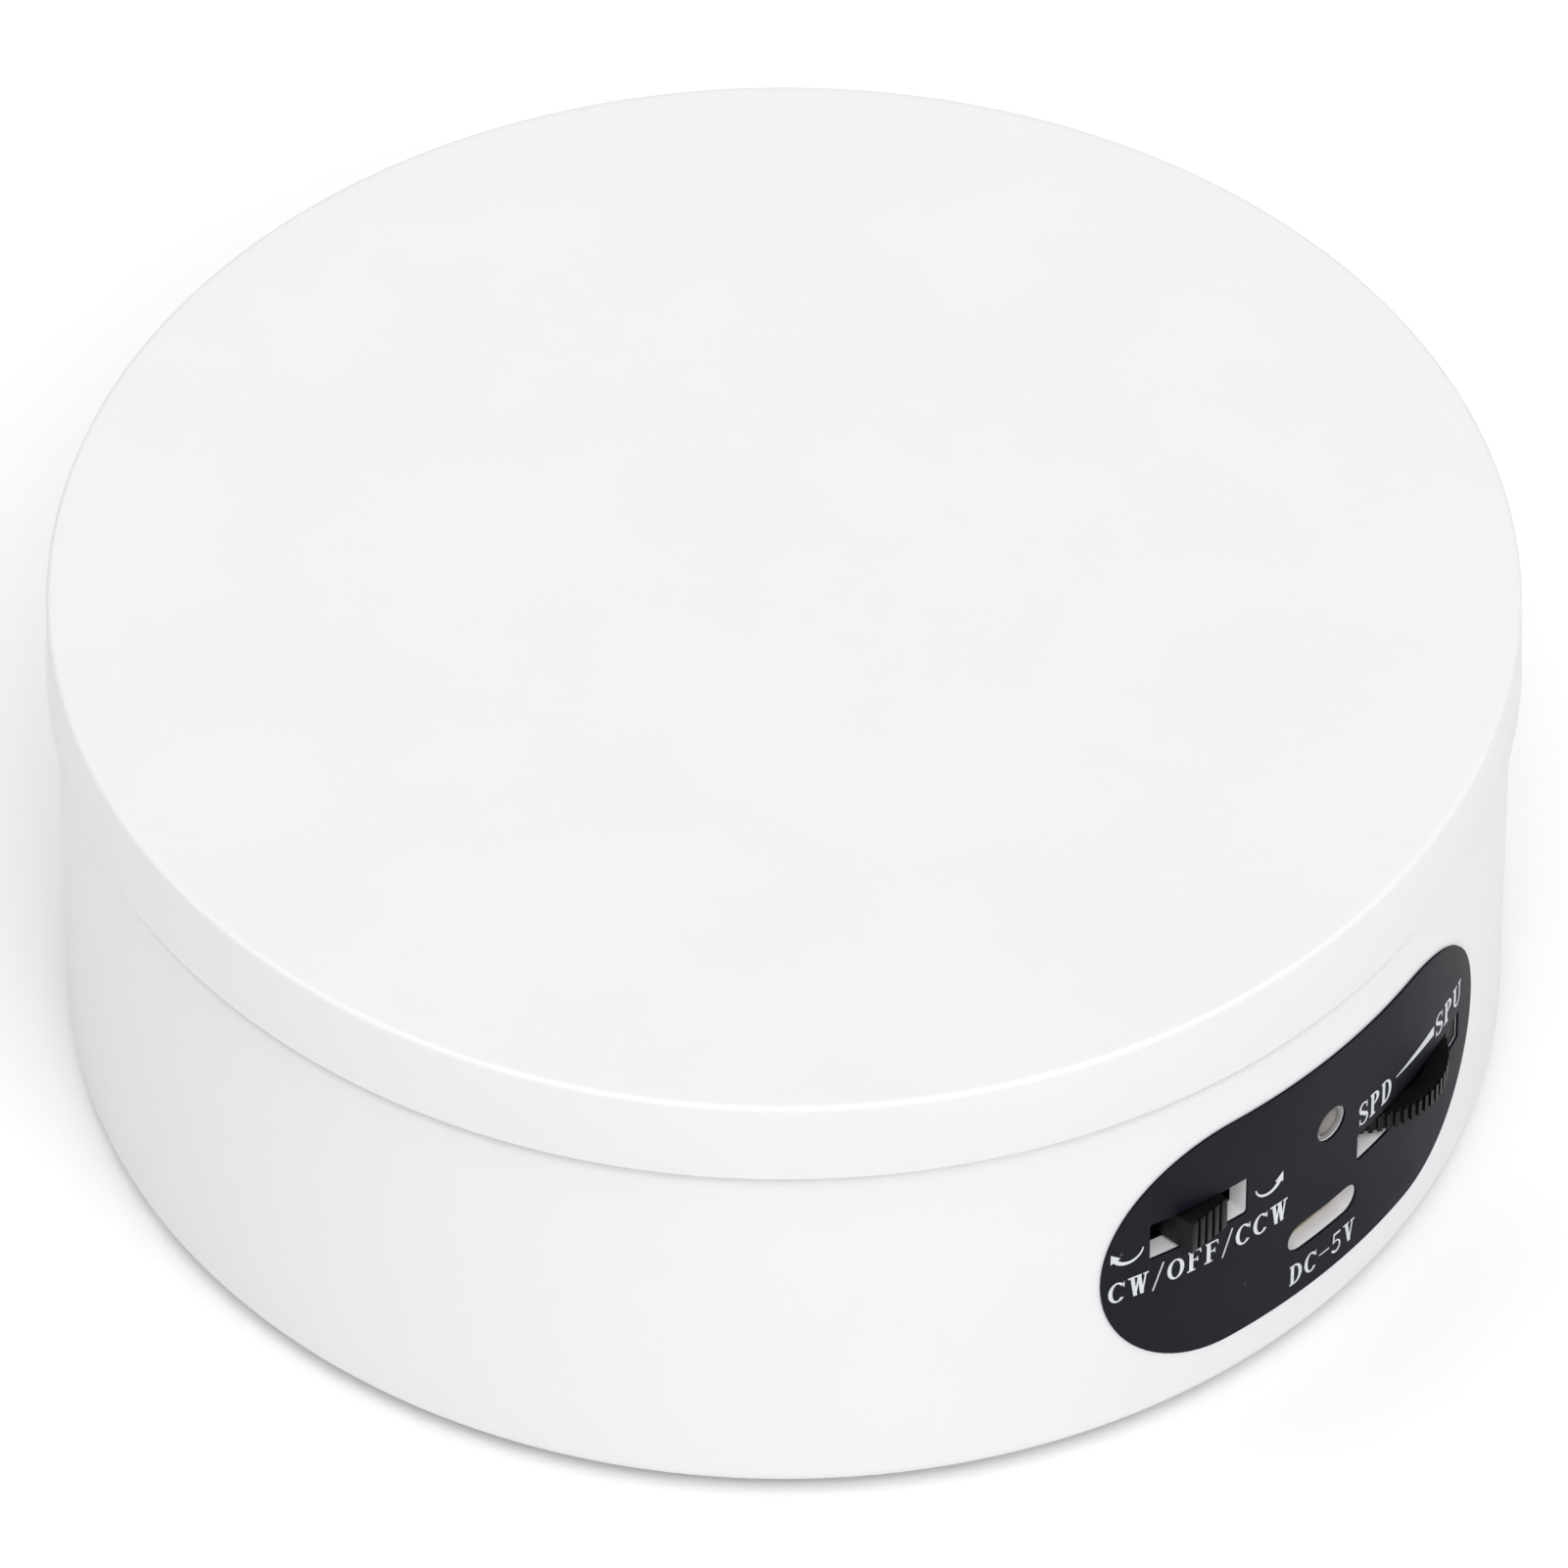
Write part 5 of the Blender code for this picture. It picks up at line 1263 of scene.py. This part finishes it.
@dataclass
class Controls:
    """The pieces in the panel's openings: switch knob, speed wheel, power light and socket."""

    panel: Panel
    knob_ribs: int = 5
    knob_groove: float = 0.35 * MM
    groove_share: float = 0.17
    shield_and_shade_width: float = 11.6 * MM
    shield_and_shade_drop: float = 2.6 * MM
    shield_and_shade_rise: float = 0.6 * MM
    shield_and_shade_half: float = 0.25 * MM
    shield_and_shade_gap: float = 0.7 * MM
    wheel_teeth: int = 64
    wheel_tooth: float = 0.36 * MM
    wheel_thickness: float = 2.1 * MM
    dish_inner: float = 3.0 * MM
    dish_outer: float = 7.4 * MM
    dish_depth: float = 0.4 * MM
    spindle_radius: float = 1.6 * MM
    shade_block_left: float = 7.2 * MM
    shade_block_drop: float = 0.72 * MM
    shade_block_wall: float = 1.1 * MM
    shade_block_depth: float = 0.04 * MM
    shade_block_gap: float = 0.15 * MM
    light_gap: float = 0.04 * MM
    light_reach: float = 0.15 * MM
    light_rim: float = 0.32 * MM
    light_dome: float = 0.3 * MM
    light_flange: float = 0.9 * MM
    shell_wall: float = 0.3 * MM
    insert_wall: float = 0.4 * MM
    insert_depth: float = 2.0 * MM
    tongue_half: Point = (3.3 * MM, 0.35 * MM)
    contact_count: int = 12
    contact_pitch: float = 0.5 * MM
    contact_half: float = 0.12 * MM
    contact_span: Point = (0.30 * MM, 0.39 * MM)

    def build(self) -> None:
        """Makes every control."""
        self.build_knob()
        self.build_speed_wheel()
        self.build_slot_end_shade()
        self.build_light()
        self.build_socket()

    def build_knob(self) -> None:
        """The ribbed slider, with a black plate that moves behind its slot: partly a dust shield, partly
        painted shade for the dark slot interior.
        """
        low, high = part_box("direction_knob")
        width = high.x - low.x
        pitch = width / self.knob_ribs
        knob = block("switch_knob", low, high)
        with editing(knob):
            for rib in range(1, self.knob_ribs):
                for side in (-self.groove_share, self.groove_share):
                    bpy.ops.mesh.select_all(action="SELECT")
                    place = (low.x + (rib + side) * pitch, 0.0, 0.0)
                    bpy.ops.mesh.bisect(plane_co=place, plane_no=(1.0, 0.0, 0.0))

        def in_groove(centre: Vector, normal: Vector) -> bool:
            """Whether a face is the front of a groove between two ribs."""
            share = (centre.x - low.x) / pitch
            return normal.y < -0.9 and abs(share - round(share)) < 0.1 and 0 < round(share) < self.knob_ribs

        select_faces(knob, in_groove)
        with editing(knob, Part.FACE):
            bpy.ops.mesh.extrude_region_move(TRANSFORM_OT_translate={"value": (0.0, self.knob_groove, 0.0)})
        tidy(knob)
        soften(knob, 0.09 * MM, 2)
        # The plate behind the slot is partly a dust shield and partly painted shade: a black sheet where the
        # slot's interior lies in shadow.
        x, y, z = (low.x + high.x) / 2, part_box("direction_switch_body")[0].y, (low.z + high.z) / 2
        y -= self.shield_and_shade_gap
        half = self.shield_and_shade_width / 2
        rise = self.panel.switch_slot[1] / 2
        bottom, top = z - rise - self.shield_and_shade_drop, z + rise + self.shield_and_shade_rise
        front, back = y - self.shield_and_shade_half, y + self.shield_and_shade_half
        shield_and_shade = block("shield_and_shade", (x - half, front, bottom), (x + half, back, top))
        combine(knob, shield_and_shade, Work.ADD)
        smooth(knob)
        dress(knob, "direction_knob", Slot.BLACK, stands_for=["direction_knob"])

    def build_speed_wheel(self) -> None:
        """The knurled wheel, with a dished top face and its spindle."""
        low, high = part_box("speed_wheel")
        (x, y), radius = round_place("speed_wheel")
        thickness = self.wheel_thickness
        clear_selection()
        bpy.ops.mesh.primitive_cylinder_add(
            vertices=4 * self.wheel_teeth, radius=radius - self.wheel_tooth, depth=thickness,
            location=(x, y, low.z + thickness / 2),
        )
        wheel = newest("speed_dial")
        settle(wheel)

        def on_tooth(centre: Vector, normal: Vector) -> bool:
            """Whether a face of the rim belongs to a tooth and not to a gap."""
            turn = math.atan2(centre.y - y, centre.x - x) / math.tau * self.wheel_teeth
            return abs(normal.z) < 0.5 and (turn % 1.0) < 0.5

        select_faces(wheel, on_tooth)
        with editing(wheel, Part.FACE):
            bpy.ops.mesh.extrude_region_move(TRANSFORM_OT_translate={"value": (0.0, 0.0, 0.0)})
            bpy.ops.transform.shrink_fatten(value=self.wheel_tooth)
        tidy(wheel)
        soften(wheel, 0.07 * MM, 1, 35.0)
        inner, outer, depth = self.dish_inner, self.dish_outer, self.dish_depth
        dish = lathe("dish", [(inner, 0.0), (inner + depth, -depth), (outer - depth, -depth), (outer, 0.0),
                              (outer, MM), (inner, MM), (inner, 0.0)])
        dish.location = (x, y, low.z + thickness)
        settle(dish)
        combine(wheel, dish, Work.CUT)
        spindle = rod("spindle", (x, y), self.spindle_radius, low.z + thickness - 0.2 * MM, high.z)
        combine(wheel, spindle, Work.ADD)
        smooth(wheel)
        dress(wheel, "speed_wheel", Slot.BLACK, stands_for=["speed_wheel"])

    def build_slot_end_shade(self) -> None:
        """A dark block almost flush in the right end of the wheel's slot: painted shade standing in for the
        slot's end wall in shadow.
        """
        panel = self.panel
        along, height = panel.wheel_place
        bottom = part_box("speed_wheel")[0].z - self.shade_block_drop
        top = height + panel.wheel_slot[1] / 2 - 0.03 * MM
        left = along + self.shade_block_left
        right = along + panel.wheel_slot[0] / 2 - 0.05 * MM
        centre = ((left + right) / 2, (bottom + top) / 2)
        outline = rounded_box(centre, (right - left, top - bottom), 0.2 * MM)
        face = -self.shade_block_depth
        # This dark block is painted shade: it fills the slot's right end, where the end wall lies in shadow.
        slot_end_shade = sheet_cut("slot_end_shade_block", [outline], face - self.shade_block_wall, face)
        soften(slot_end_shade, 0.12 * MM, 2, 50.0)
        panel.wrap(slot_end_shade)
        axis, radius = round_place("speed_wheel")
        room = rod("room", axis, radius + self.shade_block_gap, bottom - MM, top + MM, 4 * self.wheel_teeth)
        combine(slot_end_shade, room, Work.CUT)
        smooth(slot_end_shade)
        dress(slot_end_shade, "base", Slot.BLACK, SLOT_END_SHADE)

    def build_light(self) -> None:
        """The power light: a dome inside a raised rim, on a flange."""
        low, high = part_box("power_led")
        x, z = self.panel.along_to_x(self.panel.window_place[0]), self.panel.window_place[1]
        flange, radius = (high.z - low.z) / 2, self.panel.window_radius - self.light_gap
        length = high.y - low.y + self.light_reach
        inner, edge = radius - self.light_rim, 0.1 * MM
        trough = length - self.light_dome
        points = [(0.0, 0.0), (flange, 0.0), (flange, self.light_flange), (radius, MM)]
        points += [(radius, length - edge), (radius - edge, length)]
        points += [(inner, length), (inner - 0.8 * edge, trough)]
        points += arc((0.0, trough), (inner - edge, self.light_dome), 0, 90, 8)
        light = lathe("power_light", points, 48)
        light.rotation_euler.x = math.radians(90)
        light.location = (x, high.y, z)
        settle(light)
        smooth(light)
        finish = replace(LENS, chip_radius=inner, axis=(x, z))
        dress(light, "base", Slot.LENS, finish, stands_for=["power_led"])

    def build_socket(self) -> None:
        """The socket's pressed shell, and its tongue with two rows of contacts."""
        low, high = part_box("usb_c_shell")
        x, z = (low.x + high.x) / 2, (low.z + high.z) / 2
        width, thickness = high.x - low.x, high.z - low.z
        outer = stadium((x, z), width, thickness, 16)
        inner = stadium((x, z), width - 2 * self.shell_wall, thickness - 2 * self.shell_wall, 16)
        shell = sheet_cut("socket_shell", [outer, inner], -high.y, -low.y)
        face_front(shell)
        soften(shell, 0.08 * MM, 2, 50.0)
        smooth(shell)
        dress(shell, "base", Slot.STEEL, SOCKET_STEEL, stands_for=["usb_c_shell"])
        low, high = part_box("usb_c_insert")
        plug = stadium((x, z), width - 2 * self.insert_wall, thickness - 2 * self.insert_wall, 16)
        insert = sheet_cut("socket_insert", [plug], -high.y, -high.y + self.insert_depth)
        face_front(insert)
        half_x, half_z = self.tongue_half
        tongue = block("tongue", (x - half_x, low.y, z - half_z), (x + half_x, high.y - MM, z + half_z))
        soften(tongue, 0.1 * MM, 2)
        combine(insert, tongue, Work.ADD)
        smooth(insert)
        dress(insert, "base", Slot.BLACK, stands_for=["usb_c_insert"])
        contacts = []
        front, back = low.y + 0.5 * MM, high.y - 2.5 * MM
        for number in range(self.contact_count):
            middle = x + (number - (self.contact_count - 1) / 2) * self.contact_pitch
            left, right = middle - self.contact_half, middle + self.contact_half
            for face in (-1, 1):
                bottom, top = sorted(z + face * height for height in self.contact_span)
                contacts.append(block("contact", (left, front, bottom), (right, back, top)))
        dress(join("socket_contacts", contacts), "base", Slot.BRASS, CONTACT_GOLD)


# ---------------------------------------------------------------- the mechanism inside

@dataclass
class Mechanism:
    """The CAD nodes that stay as they are, each with its slot's full finish."""

    def build(self) -> None:
        """Dresses every node that is still shown."""
        slots = {entry["node"]: entry["material_slot"] for entry in frame["record"]["subparts"]}
        for name, node in frame["nodes"].items():
            if node.hide_render:
                continue
            node.data.materials.clear()
            node.data.materials.append(material_of(SLOT_FINISHES[Slot(slots[name])]))
            log.info("%s keeps its shape", name)


# ---------------------------------------------------------------- studio

@dataclass
class Studio:
    """A pale floor, an even sky, two wide soft lights and a long lens."""

    azimuth: float = -47.52
    elevation: float = 43.9
    distance: float = 1.752
    lens: float = 406.6
    target_height: float = 55 * MM
    aim_height: float = 27 * MM
    floor_size: float = 40.0
    floor_colour: Colour = (0.94, 0.94, 0.94)
    sky: Colour = (0.97, 0.98, 1.0)
    sky_strength: float = 0.30
    key_turn: float = 18.0
    key_rise: float = 38.0
    key_spread: float = 50.0
    key_strength: float = 1.07
    top_rise: float = 80.0
    top_spread: float = 80.0
    top_strength: float = 2.1
    sensor: float = 36.0

    def build(self) -> None:
        """Sets up floor, sky, lights and camera."""
        self.build_floor()
        self.build_sky()
        key = self.direction(self.azimuth + self.key_turn, self.key_rise)
        top = self.direction(self.azimuth, self.top_rise)
        self.add_sun("key_light", key, self.key_spread, self.key_strength)
        self.add_sun("top_light", top, self.top_spread, self.top_strength)
        self.build_camera(self.direction(self.azimuth, self.elevation))

    @staticmethod
    def direction(azimuth: float, elevation: float) -> Vector:
        """The unit vector from the object to a place round it; azimuth 0 is in front, at -Y."""
        turn, rise = math.radians(azimuth), math.radians(elevation)
        return Vector((math.sin(turn) * math.cos(rise), -math.cos(turn) * math.cos(rise), math.sin(rise)))

    def build_floor(self) -> None:
        """A pale floor with a faint texture."""
        clear_selection()
        bpy.ops.mesh.primitive_plane_add(size=self.floor_size)
        floor = newest("floor")
        floor.data.materials.append(material_of(Finish("pale_floor", self.floor_colour, 0.9, drift=0.002)))

    def build_sky(self) -> None:
        """An even, soft sky."""
        world = bpy.data.worlds.new("soft_sky")
        world.use_nodes = True
        background = world.node_tree.nodes["Background"]
        background.inputs["Color"].default_value = (*self.sky, 1.0)
        background.inputs["Strength"].default_value = self.sky_strength
        bpy.context.scene.world = world

    def add_sun(self, name: str, toward: Vector, spread: float, strength: float) -> None:
        """A distant light as wide as a big soft box.

        Args:
            name: the light's name.
            toward: the direction from the object to it.
            spread: the angle that it fills, in degrees.
            strength: its strength.
        """
        lamp = bpy.data.lights.new(name, "SUN")
        lamp.angle = math.radians(spread)
        lamp.energy = strength
        holder = bpy.data.objects.new(name, lamp)
        holder.location = toward
        holder.rotation_euler = (-toward).to_track_quat("-Z", "Y").to_euler()
        bpy.context.scene.collection.objects.link(holder)

    def build_camera(self, toward: Vector) -> None:
        """A long lens that looks down at the object.

        Args:
            toward: the direction from the object to the camera.
        """
        camera = bpy.data.cameras.new("camera")
        camera.lens = self.lens
        camera.sensor_width = self.sensor
        camera.clip_start = 0.05
        camera.clip_end = 50.0
        place = Vector((0.0, 0.0, self.target_height)) + toward * self.distance
        centre = Vector((0.0, 0.0, self.aim_height))
        holder = bpy.data.objects.new("camera", camera)
        holder.location = place
        holder.rotation_euler = (centre - place).to_track_quat("-Z", "Y").to_euler()
        bpy.context.scene.collection.objects.link(holder)
        bpy.context.scene.camera = holder


def main() -> None:
    """Builds the studio and every sub-assembly in order."""
    logging.basicConfig(level=logging.INFO, format="%(message)s")
    bpy.context.scene.view_settings.view_transform = "Standard"
    Studio().build()
    panel = Panel()
    for assembly in (Platter(), Drum(panel), Underside(), Label(panel), Controls(panel), Mechanism()):
        log.info("building %s", type(assembly).__name__)
        assembly.build()


if __name__ == "__main__":
    main()
